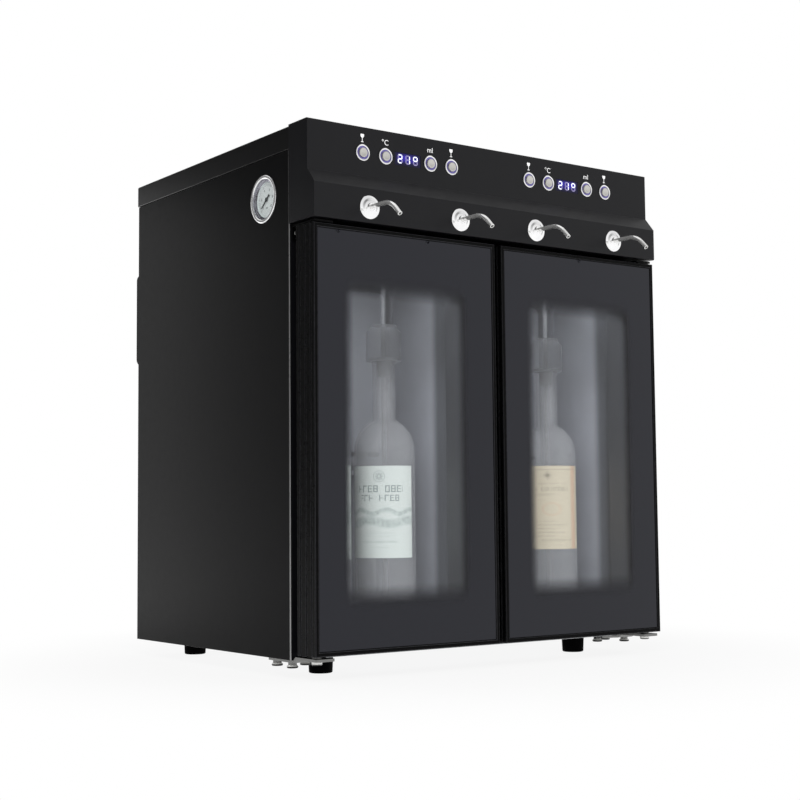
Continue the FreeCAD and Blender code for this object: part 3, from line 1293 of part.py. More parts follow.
def door_gasket(side):
    """Bellows gasket round the back of a door, mitred at its corners."""
    x0, x1 = door_limits(side)
    y0 = y_door + DOOR_T
    y1 = y_frame - SEAL_GAP
    third = (y1 - y0) / 3
    # narrowing of each side at each share of the depth, in thirds
    folds = ((0, 0), (1.5, 0.6), (4, 1), (1, 1.5), (4, 2), (0, 2.3), (0, 3))
    inner = [(GASKET_W - narrow, y0 + share * third) for narrow, share in folds]
    outer = [(narrow, y0 + share * third) for narrow, share in reversed(folds)]
    profile = inner + outer
    g = GASKET_INSET
    return mitred_ring(x0 + g, x1 - g, z_door + g, z_door_top - g, profile)


# ---------------------------------------------------------------- hinges and fasteners
def tongue_limits(side):
    """Outer and inner X of a hinge tongue."""
    outer = x_side - PLATE_INSET
    return side * outer, side * (outer - TONGUE_W)


def lower_hinge(side):
    """Lower hinge plate: flat under the cabinet, stepped up to a tongue under the door."""
    z_plate = z_cabinet - HINGE_T
    z_tongue = z_door - COLLAR_CLEAR - COLLAR_H - HINGE_T
    y0, y1 = y_door + TONGUE_FRONT, y_panel + PLATE_D
    ys = y_frame - 1.0                  # the step ends here
    side_view = [(y0, z_tongue), (ys - STEP_RUN, z_tongue), (ys, z_plate), (y1, z_plate),
                 (y1, z_plate + HINGE_T), (ys + 1, z_plate + HINGE_T),
                 (ys + 1 - STEP_RUN, z_tongue + HINGE_T), (y0, z_tongue + HINGE_T)]
    outer, inner = tongue_limits(side)
    wide = outer - side * PLATE_W
    plan = [(outer, y0), (inner, y0), (inner, ys), (wide, ys + 8), (wide, y1), (outer, y1)]
    radii = [PLATE_R, PLATE_R, 2 * PLATE_R, PLATE_R, PLATE_R, PLATE_R]
    blank = upright(plan, z_plate - 1, z_tongue + HINGE_T + 1, radii)
    plate = across(side_view, outer, wide).common(blank)
    cuts = [rod(BOLT_R + SCREW_FIT, V(x, y, z_plate - 1), UP, HINGE_T + 2)
            for x, y in bolt_places(side)]
    cuts.append(rod(HINGE_PIN_R, V(side * x_pin, y_pin, z_tongue - 1), UP, HINGE_T + 2))
    return all_cut(plate, cuts)


def bracket_screws():
    """X and Z of the screws through the upper hinge brackets."""
    z = z_door_top + BRACKET_LIFT - BRACKET_DROP / 2 + 1
    x = x_side - PLATE_INSET - TONGUE_W / 2
    return [(side * (x + dx), z) for side in SIDES for dx in (-BRACKET_SCREW_X, BRACKET_SCREW_X)]


def upper_hinge(side):
    """Upper hinge bracket: an angle on the front frame, its tongue over the door."""
    z0, z1 = z_door_top + BRACKET_LIFT, z_door_top + BRACKET_LIFT + BRACKET_T
    y0, y1 = y_door + TONGUE_FRONT, y_frame
    outer, inner = tongue_limits(side)
    y_leg, z_leg = y1 - BRACKET_T, z0 - BRACKET_DROP
    angle = [(y0, z0), (y_leg, z0), (y_leg, z_leg), (y1, z_leg), (y1, z1), (y0, z1)]
    bracket = across(angle, outer, inner, [0, 0, 0, 0, BRACKET_T, 0])
    cuts = [rod(HINGE_PIN_R, V(side * x_pin, y_pin, z0 - 1), UP, BRACKET_T + 2)]
    cuts += [rod(SCREW_R + SCREW_FIT, V(x, y1 - BRACKET_T - 1, z), BACKWARD, BRACKET_T + 2)
             for x, z in bracket_screws() if x * side > 0]
    return all_cut(bracket, cuts)


def hinge_pin(side, upper):
    """Hinge pin with a head outside its plate; the lower one has a collar that carries the door."""
    at = V(side * x_pin, y_pin, 0)
    r = HINGE_PIN_R
    if upper:
        at.z = z_door_top + BRACKET_LIFT + BRACKET_T
        tip = -(BRACKET_T + BRACKET_LIFT + HINGE_BORE - 1)
        head_r, head_h = PIN_HEAD_R - 1, UPPER_HEAD_H
        profile = [(0, tip), (r - PIN_TIP, tip), (r, tip + PIN_TIP), (r, 0), (head_r, 0),
                   (head_r, head_h), (0, head_h)]
        return turned(profile, at, UP)
    at.z = z_door - COLLAR_CLEAR
    tip = COLLAR_CLEAR + HINGE_BORE - 1
    under = -COLLAR_H - HINGE_T
    foot = under - PIN_HEAD_H
    profile = [(0, foot), (PIN_HEAD_R - PIN_TIP, foot), (PIN_HEAD_R, foot + PIN_TIP),
               (PIN_HEAD_R, under), (r, under), (r, -COLLAR_H), (COLLAR_R, -COLLAR_H),
               (COLLAR_R, 0), (r, 0), (r, tip - PIN_TIP), (r - PIN_TIP, tip), (0, tip)]
    return turned(profile, at, UP)


def hinge_pins():
    """The four hinge pins."""
    return [hinge_pin(side, upper) for side in SIDES for upper in (False, True)]


def hinge_plates():
    """The lower plates and the upper brackets."""
    return both(lower_hinge) + both(upper_hinge)


def screw(at, direction, radius, head_r, head_h, length):
    """A pan-head screw; the direction points out of the head."""
    profile = [(0, -length), (radius, -length), (radius, 0), (head_r, 0), (head_r, head_h * 0.6),
               (head_r * 0.6, head_h), (0, head_h)]
    return turned(profile, at, direction)


def screws():
    """Hinge bolts under the cabinet, bracket screws, and the screws of the back panel and rear cover."""
    solids = []
    for side in SIDES:
        solids += [screw(V(x, y, z_cabinet - HINGE_T), -UP, BOLT_R, BOLT_HEAD_R, BOLT_HEAD_H,
                         HINGE_T + SHEET + BOLT_OVER) for x, y in bolt_places(side)]
    solids += [screw(V(x, y_frame - BRACKET_T, z), FOREWARD, SCREW_R, SCREW_HEAD_R,
                     BRACKET_SCREW_H, BRACKET_T + FRAME_SHEET) for x, z in bracket_screws()]
    solids += [screw(V(x, y_back + REAR_BOX_WALL, z), BACKWARD, SCREW_R, SCREW_HEAD_R, SCREW_HEAD_H,
                     SCREW_L) for x, z in cover_screws()]
    return solids


# ---------------------------------------------------------------- the parts
PARTS = {
    "side_panel_left": lambda: [side_panel(-1)],
    "side_panel_right": lambda: [side_panel(1)],
    "top_cover": lambda: [top_cover()],
    "back_panel": lambda: [back_panel()],
    "base_plate": lambda: [base_plate()],
    "feet": feet,
    "front_frame": lambda: [front_frame()],
    "liner_left": lambda: liner(-1),
    "liner_right": lambda: liner(1),
    "insulation": lambda: [insulation()],
    "bottle_trays": lambda: both(tray),
    "light_bars": lambda: both(light_bar),
    "bottles": lambda: [bottle(x) for x in bottle_places()],
    "stoppers": lambda: [stopper(x) for x in bottle_places()],
    "wine_tubes": wine_tubes,
    "gas_tubes": gas_tubes,
    "wine_valves": lambda: [wine_valve(x) for x in bottle_places()],
    "gas_manifold": gas_manifold,
    "gas_inlet": lambda: [gas_inlet()],
    "power_inlet": lambda: [power_inlet()],
    "power_supply": lambda: [power_supply()],
    "cooling_stacks": cooling_stacks,
    "heat_sinks": lambda: both(heat_sink),
    "duct_covers": lambda: both(duct_cover),
    "circulation_rotor_left": lambda: [circulation_rotor(-1)],
    "circulation_rotor_right": lambda: [circulation_rotor(1)],
    "rear_cover": lambda: [rear_cover()],
    "rear_fan_frames": lambda: both(rear_fan_frame),
    "rear_rotor_left": lambda: [rear_rotor(-1)],
    "rear_rotor_right": lambda: [rear_rotor(1)],
    "fascia": lambda: [fascia()],
    "control_board": lambda: [control_board()],
    "displays": lambda: both(display),
    "button_bezels": lambda: [bezel(x) for x in button_places()],
    "button_light_rings": lambda: [light_ring(x) for x in button_places()],
    "tap_spouts": lambda: [spout(x) for x, _ in tap_places()],
    "tap_rosettes": lambda: [rosette(x) for x, _ in tap_places()],
    "gauge_case": lambda: [gauge_case()],
    "gauge_dial": lambda: [gauge_dial()],
    "gauge_needle": lambda: [gauge_needle()],
    "gauge_lens": lambda: [gauge_lens()],
    "hinge_plates": hinge_plates,
    "hinge_pins": hinge_pins,
    "screws": screws,
}
for number, place in enumerate(button_places(), start=1):
    PARTS[f"button_{number}"] = lambda x=place: [button_cap(x)]
for hand, name in zip(SIDES, ("left", "right")):
    PARTS[f"door_frame_{name}"] = lambda s=hand: [door_frame(s)]
    PARTS[f"door_glazing_{name}"] = lambda s=hand: door_glazing(s)
    PARTS[f"door_liner_{name}"] = lambda s=hand: [door_liner(s)]
    PARTS[f"door_gasket_{name}"] = lambda s=hand: [door_gasket(s)]


def main():
    """Write one STEP file for each part."""
    os.makedirs("parts", exist_ok=True)
    for node, make in PARTS.items():
        solids = make()
        shape = solids[0] if len(solids) == 1 else Part.Compound(solids)
        if not shape.isValid():
            print("not valid:", node)
        print(f"{node}: {len(shape.Solids)} solid(s), {shape.Volume / 1000:.1f} cm3")
        shape.exportStep(f"parts/{node}.step")


main()
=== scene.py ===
"""Dress the wine dispenser: painted cabinet, glass doors, tap head, gauge and lit compartments.

The frame gives every solid in metres, +Z up and the doors facing -Y. Each sub-assembly is a class
that takes its places from those solids, models its pieces and gives them their finish.
"""

import json
import logging
import math
from collections.abc import Callable
from dataclasses import dataclass
from enum import Enum

import bmesh
import bpy
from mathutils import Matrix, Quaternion, Vector

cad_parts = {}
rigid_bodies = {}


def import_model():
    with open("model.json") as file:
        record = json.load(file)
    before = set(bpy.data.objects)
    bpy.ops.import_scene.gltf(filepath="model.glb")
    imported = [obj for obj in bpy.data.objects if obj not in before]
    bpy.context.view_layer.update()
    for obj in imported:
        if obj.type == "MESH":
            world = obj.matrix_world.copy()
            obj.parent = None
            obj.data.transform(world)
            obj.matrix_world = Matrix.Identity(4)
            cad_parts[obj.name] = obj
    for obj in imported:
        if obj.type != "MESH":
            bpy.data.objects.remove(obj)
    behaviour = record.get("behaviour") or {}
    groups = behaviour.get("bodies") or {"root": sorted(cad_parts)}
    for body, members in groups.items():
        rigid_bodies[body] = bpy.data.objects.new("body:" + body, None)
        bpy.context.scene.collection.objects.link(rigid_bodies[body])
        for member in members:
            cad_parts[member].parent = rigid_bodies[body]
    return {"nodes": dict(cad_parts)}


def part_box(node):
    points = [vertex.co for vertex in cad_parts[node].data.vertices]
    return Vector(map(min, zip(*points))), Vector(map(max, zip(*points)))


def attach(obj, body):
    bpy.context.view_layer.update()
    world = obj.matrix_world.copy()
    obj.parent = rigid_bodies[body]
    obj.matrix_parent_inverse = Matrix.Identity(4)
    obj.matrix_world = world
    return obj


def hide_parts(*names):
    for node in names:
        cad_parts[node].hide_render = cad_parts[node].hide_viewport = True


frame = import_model()
for leftover in {"Cube", "Camera", "Light"} & set(bpy.data.objects.keys()):
    bpy.data.objects.remove(bpy.data.objects[leftover])
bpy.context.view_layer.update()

LOG = logging.getLogger("dispenser")
MM = 0.001
Colour = tuple[float, float, float]
Pair = tuple[float, float]
Rings = list[Pair]
Piece = bpy.types.Object
Socket = bpy.types.NodeSocket

WELD = 1e-7         # modelled corners nearer than this are one
CAD_WELD = 2e-6     # and so are corners of a solid
FLAT_DEG = 0.5      # faces within this angle are one flat face
SHARP_DEG = 34      # edges over this angle are eased
SMOOTH_DEG = 32.0   # faces up to this angle are shaded as one
PRINT_T = 0.05 * MM


class Side(Enum):
    """The two sides of the cabinet, seen from the front."""

    LEFT = -1
    RIGHT = 1

    @property
    def word(self) -> str:
        """The side's name as the frame spells it."""
        return self.name.lower()


class Facing(Enum):
    """Turns that bring a form made along +Z to face a side of the cabinet."""

    UP = (0.0, 0.0, 0.0)
    DOWN = (math.pi, 0.0, 0.0)
    FRONT = (math.pi / 2, 0.0, 0.0)
    LEFT = (math.pi / 2, 0.0, -math.pi / 2)


@dataclass(frozen=True)
class Span:
    """The box round one solid."""

    low: Vector
    high: Vector

    @property
    def middle(self) -> Vector:
        """Centre of the box."""
        return (self.low + self.high) / 2

    @property
    def size(self) -> Vector:
        """Its three lengths."""
        return self.high - self.low


def linear(red: int, green: int, blue: int) -> Colour:
    """A display colour, from 0 to 255, as the linear one that shaders take."""
    shares = (value / 255 for value in (red, green, blue))
    return tuple(v / 12.92 if v <= 0.04045 else ((v + 0.055) / 1.055) ** 2.4 for v in shares)


# ------------------------------------------------------------------ places in the frame
def span_of(node: str) -> Span:
    """The box round a whole node."""
    return Span(*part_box(node))


def box_round(corners: list[Vector]) -> Span:
    """The box round some points."""
    return Span(*(Vector(pick(c[i] for c in corners) for i in range(3)) for pick in (min, max)))


def solids_of(node: str) -> list[Span]:
    """The boxes of a node's separate solids.

    Args:
        node: Name of the node.

    Returns:
        One span for each solid, from left to right and from the front back.
    """
    mesh = bmesh.new()
    mesh.from_mesh(frame["nodes"][node].data)
    bmesh.ops.remove_doubles(mesh, verts=mesh.verts, dist=1e-6)
    waiting, spans = set(mesh.verts), []
    while waiting:
        island, edge = [], [waiting.pop()]
        while edge:
            corner = edge.pop()
            island.append(corner.co.copy())
            near = {e.other_vert(corner) for e in corner.link_edges} & waiting
            waiting -= near
            edge.extend(near)
        spans.append(box_round(island))
    mesh.free()
    return sorted(spans, key=lambda s: (round(s.middle.x, 4), round(s.middle.y, 4), s.middle.z))


# ------------------------------------------------------------------ modelling
def start_fresh() -> None:
    """Go to object mode with nothing selected."""
    if bpy.context.mode != "OBJECT":
        bpy.ops.object.mode_set(mode="OBJECT")
    bpy.ops.object.select_all(action="DESELECT")


def take(piece: Piece) -> Piece:
    """Select one piece alone and make it active."""
    start_fresh()
    piece.select_set(True)
    bpy.context.view_layer.objects.active = piece
    return piece


def edit(piece: Piece) -> None:
    """Open a piece in edit mode with all of it selected."""
    take(piece)
    bpy.ops.object.mode_set(mode="EDIT")
    bpy.ops.mesh.select_all(action="SELECT")


def settle(piece: Piece) -> Piece:
    """Put a piece's place, turn and scale into its mesh."""
    take(piece)
    bpy.ops.object.transform_apply(location=True, rotation=True, scale=True)
    return piece


def smooth(piece: Piece, angle: float = SMOOTH_DEG) -> Piece:
    """Shade a piece smooth up to an angle in degrees."""
    take(piece)
    bpy.ops.object.shade_smooth_by_angle(angle=math.radians(angle))
    return piece


def modified(piece: Piece, kind: str, **settings: object) -> Piece:
    """Add a modifier to a piece and apply it.

    Args:
        piece: The piece to change.
        kind: Blender's name for the modifier's type.
        **settings: The modifier's values.

    Returns:
        The piece.
    """
    take(piece)
    modifier = piece.modifiers.new(kind.lower(), kind)
    for name, value in settings.items():
        setattr(modifier, name, value)
    bpy.ops.object.modifier_apply(modifier=modifier.name)
    return piece


def eased(piece: Piece, width: float, segments: int = 2) -> Piece:
    """Round a piece's sharp edges into its last slot and keep its flat faces flat.

    Args:
        piece: The piece to change.
        width: Width of the rounding in metres.
        segments: Faces across the rounding.

    Returns:
        The piece, shaded smooth.
    """
    modified(piece, "BEVEL", width=width, segments=segments, limit_method="ANGLE",
             angle_limit=math.radians(SHARP_DEG), use_clamp_overlap=True,
             material=len(piece.material_slots) - 1)
    smooth(piece, 40)
    return modified(piece, "WEIGHTED_NORMAL", keep_sharp=True)


def refined(node: str, width: float = 0.0, angle: float = SMOOTH_DEG, slots: int = 1) -> Piece:
    """A finished copy of a solid: merged, its flat faces made whole, its edges eased.

    Args:
        node: Name of the solid's node.
        width: Width of its eased edges, or 0 to leave them.
        angle: Angle up to which it is shaded smooth, in degrees.
        slots: 2 to give the eased edges a slot of their own.

    Returns:
        The copy.
    """
    piece = bpy.data.objects.new(f"{node}_finished", frame["nodes"][node].data.copy())
    bpy.context.scene.collection.objects.link(piece)
    piece.data.materials.clear()
    for _ in range(slots):
        piece.data.materials.append(None)
    take(piece)
    bpy.ops.mesh.customdata_custom_splitnormals_clear()
    edit(piece)
    bpy.ops.mesh.remove_doubles(threshold=CAD_WELD)
    bpy.ops.mesh.dissolve_limited(angle_limit=math.radians(FLAT_DEG))
    start_fresh()
    return eased(piece, width) if width else smooth(piece, angle)


def draw_out(step: Vector) -> None:
    """Extrude what is selected by a step."""
    bpy.ops.mesh.extrude_region_move(TRANSFORM_OT_translate={"value": step})


def weld() -> None:
    """Merge the doubled corners of the piece being edited and turn its faces outwards."""
    bpy.ops.mesh.select_all(action="SELECT")
    bpy.ops.mesh.remove_doubles(threshold=WELD)
    bpy.ops.mesh.normals_make_consistent(inside=False)
    start_fresh()


def choose(piece: Piece, kind: str, wanted: Callable[[object], bool]) -> None:
    """Select the edges or faces of the piece being edited that pass a test."""
    bpy.ops.mesh.select_all(action="DESELECT")
    mesh = bmesh.from_edit_mesh(piece.data)
    for each in getattr(mesh, kind):
        each.select = wanted(each)
    bmesh.update_edit_mesh(piece.data)


def slab(name: str, low: Vector, high: Vector, edge: float, segments: int = 2) -> Piece:
    """A block with eased edges.

    Args:
        name: Name of the piece.
        low: Lowest corner.
        high: Highest corner.
        edge: Width of the eased edges.
        segments: Faces across each edge.

    Returns:
        The piece.
    """
    start_fresh()
    low, high = Vector(low), Vector(high)
    bpy.ops.mesh.primitive_cube_add(size=1, location=(low + high) / 2, scale=high - low)
    piece = bpy.context.object
    piece.name = name
    settle(piece)
    return eased(piece, edge, segments)


def turned(name: str, rings: Rings, at: Vector, facing: Facing = Facing.UP, sides: int = 64,
           bored: bool = False) -> Piece:
    """A turned form, made ring by ring from a circle.

    Args:
        name: Name of the piece.
        rings: Radius and height of each ring in millimetres, from first to last.
        at: Where the form's zero point lies.
        facing: Where its heights grow to.
        sides: Corners round it.
        bored: Whether the last ring joins the first round a bore, in place of two flat ends.

    Returns:
        The piece, shaded smooth.
    """
    start_fresh()
    first, *others = [(r * MM, h * MM) for r, h in rings]
    radius, height = first
    bpy.ops.mesh.primitive_circle_add(vertices=sides, radius=radius, location=(0, 0, height),
                                      fill_type="NOTHING" if bored else "NGON")
    piece = bpy.context.object
    piece.name = name
    settle(piece)
    edit(piece)
    for next_radius, next_height in others + ([first] if bored else []):
        draw_out((0, 0, next_height - height))
        share = next_radius / radius
        bpy.ops.transform.resize(value=(share, share, 1), center_override=(0, 0, next_height))
        radius, height = next_radius, next_height
    weld()
    piece.location, piece.rotation_euler = at, facing.value
    return smooth(settle(piece))


def lettering(name: str, words: str, height: float, at: Vector, facing: Facing,
              depth: float = 0.04 * MM) -> Piece:
    """Printed characters, as a thin mesh centred on a place.

    Args:
        name: Name of the piece.
        words: The characters.
        height: Font size in metres.
        at: Centre of the characters.
        facing: The side that they are read from.
        depth: Thickness of the print.

    Returns:
        The piece.
    """
    start_fresh()
    bpy.ops.object.text_add()
    text = bpy.context.object
    text.name = name
    text.data.body = words
    text.data.size = height
    text.data.extrude = depth / 2
    text.data.align_x, text.data.align_y = "CENTER", "CENTER"
    bpy.ops.object.convert(target="MESH")
    piece = bpy.context.object
    piece.location, piece.rotation_euler = at, facing.value
    return settle(piece)


def united(name: str, pieces: list[Piece]) -> Piece:
    """Several meshes made one piece."""
    take(pieces[0])
    for piece in pieces:
        piece.select_set(True)
    bpy.ops.object.join()
    pieces[0].name = name
    return pieces[0]


def apart(piece: Piece) -> list[Piece]:
    """The loose parts of a piece, each made a piece of its own."""
    name = piece.name
    edit(piece)
    bpy.ops.mesh.separate(type="LOOSE")
    start_fresh()
    parts = [o for o in bpy.data.objects if o.name.startswith(name)]
    for number, each in enumerate(parts, start=1):
        each.name = f"{name}_part_{number}"
    return parts


def bounds_of(piece: Piece) -> Span:
    """The box round a modelled piece."""
    return box_round([v.co for v in piece.data.vertices])


def moved_copy(piece: Piece, name: str, move: Vector) -> Piece:
    """A copy of a piece with its own mesh, moved from the first one's place."""
    take(piece)
    bpy.ops.object.duplicate(linked=False)
    twin = bpy.context.object
    twin.name = name
    twin.location = move
    return settle(twin)


def repeated(first: Piece, stem: str, places: list[Vector]) -> list[Piece]:
    """A piece with its copies at further places, numbered from 2; the first place is its own."""
    return [first] + [moved_copy(first, f"{stem}_{number}", at - places[0])
                      for number, at in enumerate(places[1:], start=2)]


# ------------------------------------------------------------------ finishes
class Graph:
    """Shader nodes of one material, round a Principled shader."""

    def __init__(self, name: str) -> None:
        """Start a material with its shader joined to the output."""
        self.material = bpy.data.materials.new(name)
        self.material.use_nodes = True
        self.tree = self.material.node_tree
        self.tree.nodes.clear()
        self.output = self.add("ShaderNodeOutputMaterial")
        self.shader = self.add("ShaderNodeBsdfPrincipled")
        self.show(self.shader.outputs[0])
        self.where = self.add("ShaderNodeTexCoord").outputs["Object"]

    def add(self, kind: str, **settings: object) -> bpy.types.Node:
        """Add a node and set its properties."""
        node = self.tree.nodes.new(kind)
        for name, value in settings.items():
            setattr(node, name, value)
        return node

    def join(self, source: object, target: Socket) -> None:
        """Link a socket to an input, or write a constant on it."""
        if isinstance(source, Socket):
            self.tree.links.new(source, target)
        elif isinstance(source, tuple) and len(source) == 3 and target.type == "RGBA":
            target.default_value = (*source, 1.0)
        else:
            target.default_value = source

    def set(self, **values: object) -> None:
        """Feed the shader's inputs, named with underscores for spaces."""
        for name, value in values.items():
            self.join(value, self.shader.inputs[name.replace("_", " ")])

    def calc(self, operation: str, *values: object) -> Socket:
        """One step of arithmetic on sockets and numbers."""
        node = self.add("ShaderNodeMath", operation=operation)
        for value, target in zip(values, node.inputs):
            self.join(value, target)
        return node.outputs[0]

    def off(self, value: object, centre: object) -> Socket:
        """How far a value is from a centre."""
        return self.calc("ABSOLUTE", self.calc("SUBTRACT", value, centre))

    def length(self, *values: Socket) -> Socket:
        """Length of a step, from its two parts."""
        squares = [self.calc("POWER", value, 2.0) for value in values]
        return self.calc("SQRT", self.calc("ADD", *squares))

    def noise(self, scale: float, detail: float = 2.0,
              stretch: Colour = (1.0, 1.0, 1.0)) -> Socket:
        """Soft noise.

        Args:
            scale: Blotches in a metre.
            detail: Finer layers on top.
            stretch: Scale of each axis, to draw the noise out.

        Returns:
            The noise, about 0.5.
        """
        mapping = self.add("ShaderNodeMapping")
        self.join(self.where, mapping.inputs["Vector"])
        mapping.inputs["Scale"].default_value = stretch
        node = self.add("ShaderNodeTexNoise")
        self.join(mapping.outputs[0], node.inputs["Vector"])
        node.inputs["Scale"].default_value = scale
        node.inputs["Detail"].default_value = detail
        return node.outputs[0]

    def between(self, source: Socket, low: float, high: float, out_low: float,
                out_high: float, soft: bool = False) -> Socket:
        """Map a value from one range to another.

        Args:
            source: The value.
            low: Start of its range.
            high: End of its range.
            out_low: What the start becomes.
            out_high: What the end becomes.
            soft: Whether the change eases in and out.

        Returns:
            The mapped value.
        """
        node = self.add("ShaderNodeMapRange", interpolation_type="SMOOTHSTEP" if soft else "LINEAR")
        for value, target in zip((source, low, high, out_low, out_high), node.inputs):
            self.join(value, target)
        return node.outputs[0]

    def drift(self, scale: float, low: float, high: float, detail: float = 2.0) -> Socket:
        """A value that drifts between two over the surface."""
        return self.between(self.noise(scale, detail), 0.3, 0.7, low, high)

    def cells(self, scale: float) -> bpy.types.Node:
        """Irregular cells, so many in a metre."""
        node = self.add("ShaderNodeTexVoronoi", feature="F1")
        self.join(self.where, node.inputs["Vector"])
        node.inputs["Scale"].default_value = scale
        return node

    def blend(self, share: object, first: object, second: object) -> Socket:
        """A colour between two."""
        node = self.add("ShaderNodeMix", data_type="RGBA")
        for name, value in (("Factor_Float", share), ("A_Color", first), ("B_Color", second)):
            target = next(s for s in node.inputs if s.identifier == name)
            self.join(value, target)
        return next(s for s in node.outputs if s.identifier == "Result_Color")

    def tone(self, colour: Colour, spread: float, scale: float) -> Socket:
        """A colour that drifts a little over the surface."""
        dark = tuple(c * (1 - spread) for c in colour)
        pale = tuple(min(1.0, c * (1 + spread)) for c in colour)
        return self.blend(self.drift(scale, 0, 1), dark, pale)

    def relief(self, height: Socket, depth: float) -> None:
        """Bump the surface by a height, in metres at full."""
        bump = self.add("ShaderNodeBump")
        bump.inputs["Distance"].default_value = depth
        self.join(height, bump.inputs["Height"])
        self.set(Normal=bump.outputs[0])

    def axes(self) -> tuple[Socket, ...]:
        """The three object coordinates."""
        node = self.add("ShaderNodeSeparateXYZ")
        self.join(self.where, node.inputs[0])
        return tuple(node.outputs)

    def mirror_share(self, straight: float) -> Socket:
        """How much of a clear face mirrors: little when seen straight, all at a glance."""
        weight = self.add("ShaderNodeLayerWeight")
        weight.inputs["Blend"].default_value = 0.5
        steep = self.calc("POWER", weight.outputs["Facing"], 5.0)
        return self.between(steep, 0, 1, straight, 1)

    def clear(self, tint: Colour) -> Socket:
        """A see-through shader."""
        node = self.add("ShaderNodeBsdfTransparent")
        self.join(tint, node.inputs["Color"])
        return node.outputs[0]

    def show(self, shader: Socket) -> None:
        """Send another shader to the output."""
        self.join(shader, self.output.inputs["Surface"])

    def mixed(self, share: object, first: Socket, second: Socket) -> Socket:
        """A shader between two."""
        node = self.add("ShaderNodeMixShader")
        for value, target in zip((share, first, second), node.inputs):
            self.join(value, target)
        return node.outputs[0]


@dataclass(frozen=True)
class Finish:
    """A surface finish, made a material when first used."""

    name: str

    def shade(self, graph: Graph) -> None:
        """Build the finish's nodes."""
        raise NotImplementedError

    def dress(self, piece: Piece, first: int = 0) -> None:
        """Give a piece this finish, from a slot onwards."""
        material = bpy.data.materials.get(self.name)
        if material is None:
            graph = Graph(self.name)
            self.shade(graph)
            material = graph.material
        if not piece.material_slots:
            piece.data.materials.append(material)
        for each in list(piece.material_slots)[first:]:
            each.link = "OBJECT"
            each.material = material


@dataclass(frozen=True)
class PowderPaint(Finish):
    """Baked powder paint with a fine orange peel."""

    colour: Colour
    roughness: float = 0.42
    gloss: float = 0.25
    peel: float = 0.03 * MM

    def shade(self, graph: Graph) -> None:
        """Dark paint, its sheen drifting a little over a fine peel."""
        graph.set(Base_Color=graph.tone(self.colour, 0.05, 40), Specular_IOR_Level=self.gloss,
                  Roughness=graph.drift(120, self.roughness - 0.02, self.roughness + 0.02, 3))
        graph.relief(graph.noise(900, 3), self.peel)


@dataclass(frozen=True)
class MouldedPlastic(Finish):
    """Moulded plastic with a spark-eroded grain."""

    colour: Colour
    roughness: float = 0.45
    gloss: float = 0.4
    grain: float = 0.02 * MM

    def body(self, graph: Graph) -> Socket:
        """The colour of the plastic."""
        return graph.tone(self.colour, 0.05, 22)

    def shade(self, graph: Graph) -> None:
        """Plain colour under a fine even grain."""
        graph.set(Base_Color=self.body(graph), Specular_IOR_Level=self.gloss,
                  Roughness=graph.drift(60, self.roughness - 0.05, self.roughness + 0.06, 3))
        graph.relief(graph.noise(1600, 2), self.grain)


@dataclass(frozen=True)
class LippedPlastic(MouldedPlastic):
    """Moulded plastic with painted shade along its front lip, where the front of the walls lies in
    shade.
    """

    edge: float = 0.0
    soft: float = 9 * MM
    # colour of the painted shade along the lip
    dark: Colour = linear(79, 81, 86)

    def body(self, graph: Graph) -> Socket:
        """Painted shade in front of its edge, passing softly into the wall's colour."""
        _, y, _ = graph.axes()
        depth = graph.between(y, self.edge - self.soft, self.edge + self.soft, 0, 1, True)
        return graph.blend(depth, self.dark, super().body(graph))


@dataclass(frozen=True)
class Rubber(Finish):
    """Matt rubber with a dusty bloom."""

    colour: Colour = (0.002, 0.002, 0.0022)
    sheen: float = 0.12

    def shade(self, graph: Graph) -> None:
        """Near black, greyer where it has bloomed."""
        bloom = graph.between(graph.noise(120, 5), 0.5, 0.8, 0, 0.5)
        graph.set(Base_Color=graph.blend(bloom, self.colour, (0.006, 0.006, 0.0062)),
                  Roughness=graph.drift(70, 0.6, 0.78), Specular_IOR_Level=self.sheen)
        graph.relief(graph.noise(1100, 3), 0.04 * MM)


@dataclass(frozen=True)
class Metal(Finish):
    """Bare or plated metal, brushed along an axis or polished."""

    colour: Colour
    roughness: float = 0.3
    brushed: Colour = (1.0, 1.0, 1.0)
    depth: float = 0.01 * MM
    pitch: float = 500.0
    share: float = 1.0

    def shade(self, graph: Graph) -> None:
        """Metal with drawn-out scratches in its sheen."""
        strokes = graph.noise(self.pitch, 4, self.brushed)
        graph.set(Base_Color=graph.tone(self.colour, 0.06, 60), Metallic=self.share,
                  Roughness=graph.between(strokes, 0.25, 0.75, self.roughness * 0.8,
                                          self.roughness * 1.25))
        graph.relief(strokes, self.depth)


@dataclass(frozen=True)
class BoltMetal(Finish):
    """Plated bolt with light painted in bands by height: a grey hexagon, a flange painted bright as a
    highlight and a rim painted dark as shade.
    """

    slope: float
    rim: float
    # greys of the hexagon, of the flange's painted highlight and of the rim's painted shade
    greys: tuple[float, float, float] = (0.22, 1.0, 0.03)

    def shade(self, graph: Graph) -> None:
        """Three greys by height, a painted highlight and a painted shade, with fine scratches in the
        sheen.
        """
        _, _, z = graph.axes()
        # hexagon mid grey, flange painted highlight, rim painted shade
        hexagon, flange, rim = ((grey, grey, grey * 0.97) for grey in self.greys)
        soft = 0.25 * MM
        lower = graph.between(z, self.rim - soft, self.rim + soft, 0, 1, True)
        upper = graph.between(z, self.slope - soft, self.slope + soft, 0, 1, True)
        worn = graph.noise(500, 4)
        graph.set(Base_Color=graph.blend(upper, graph.blend(lower, rim, flange), hexagon),
                  Metallic=0.35, Roughness=graph.between(worn, 0.25, 0.75, 0.12, 0.2))
        graph.relief(worn, 0.005 * MM)


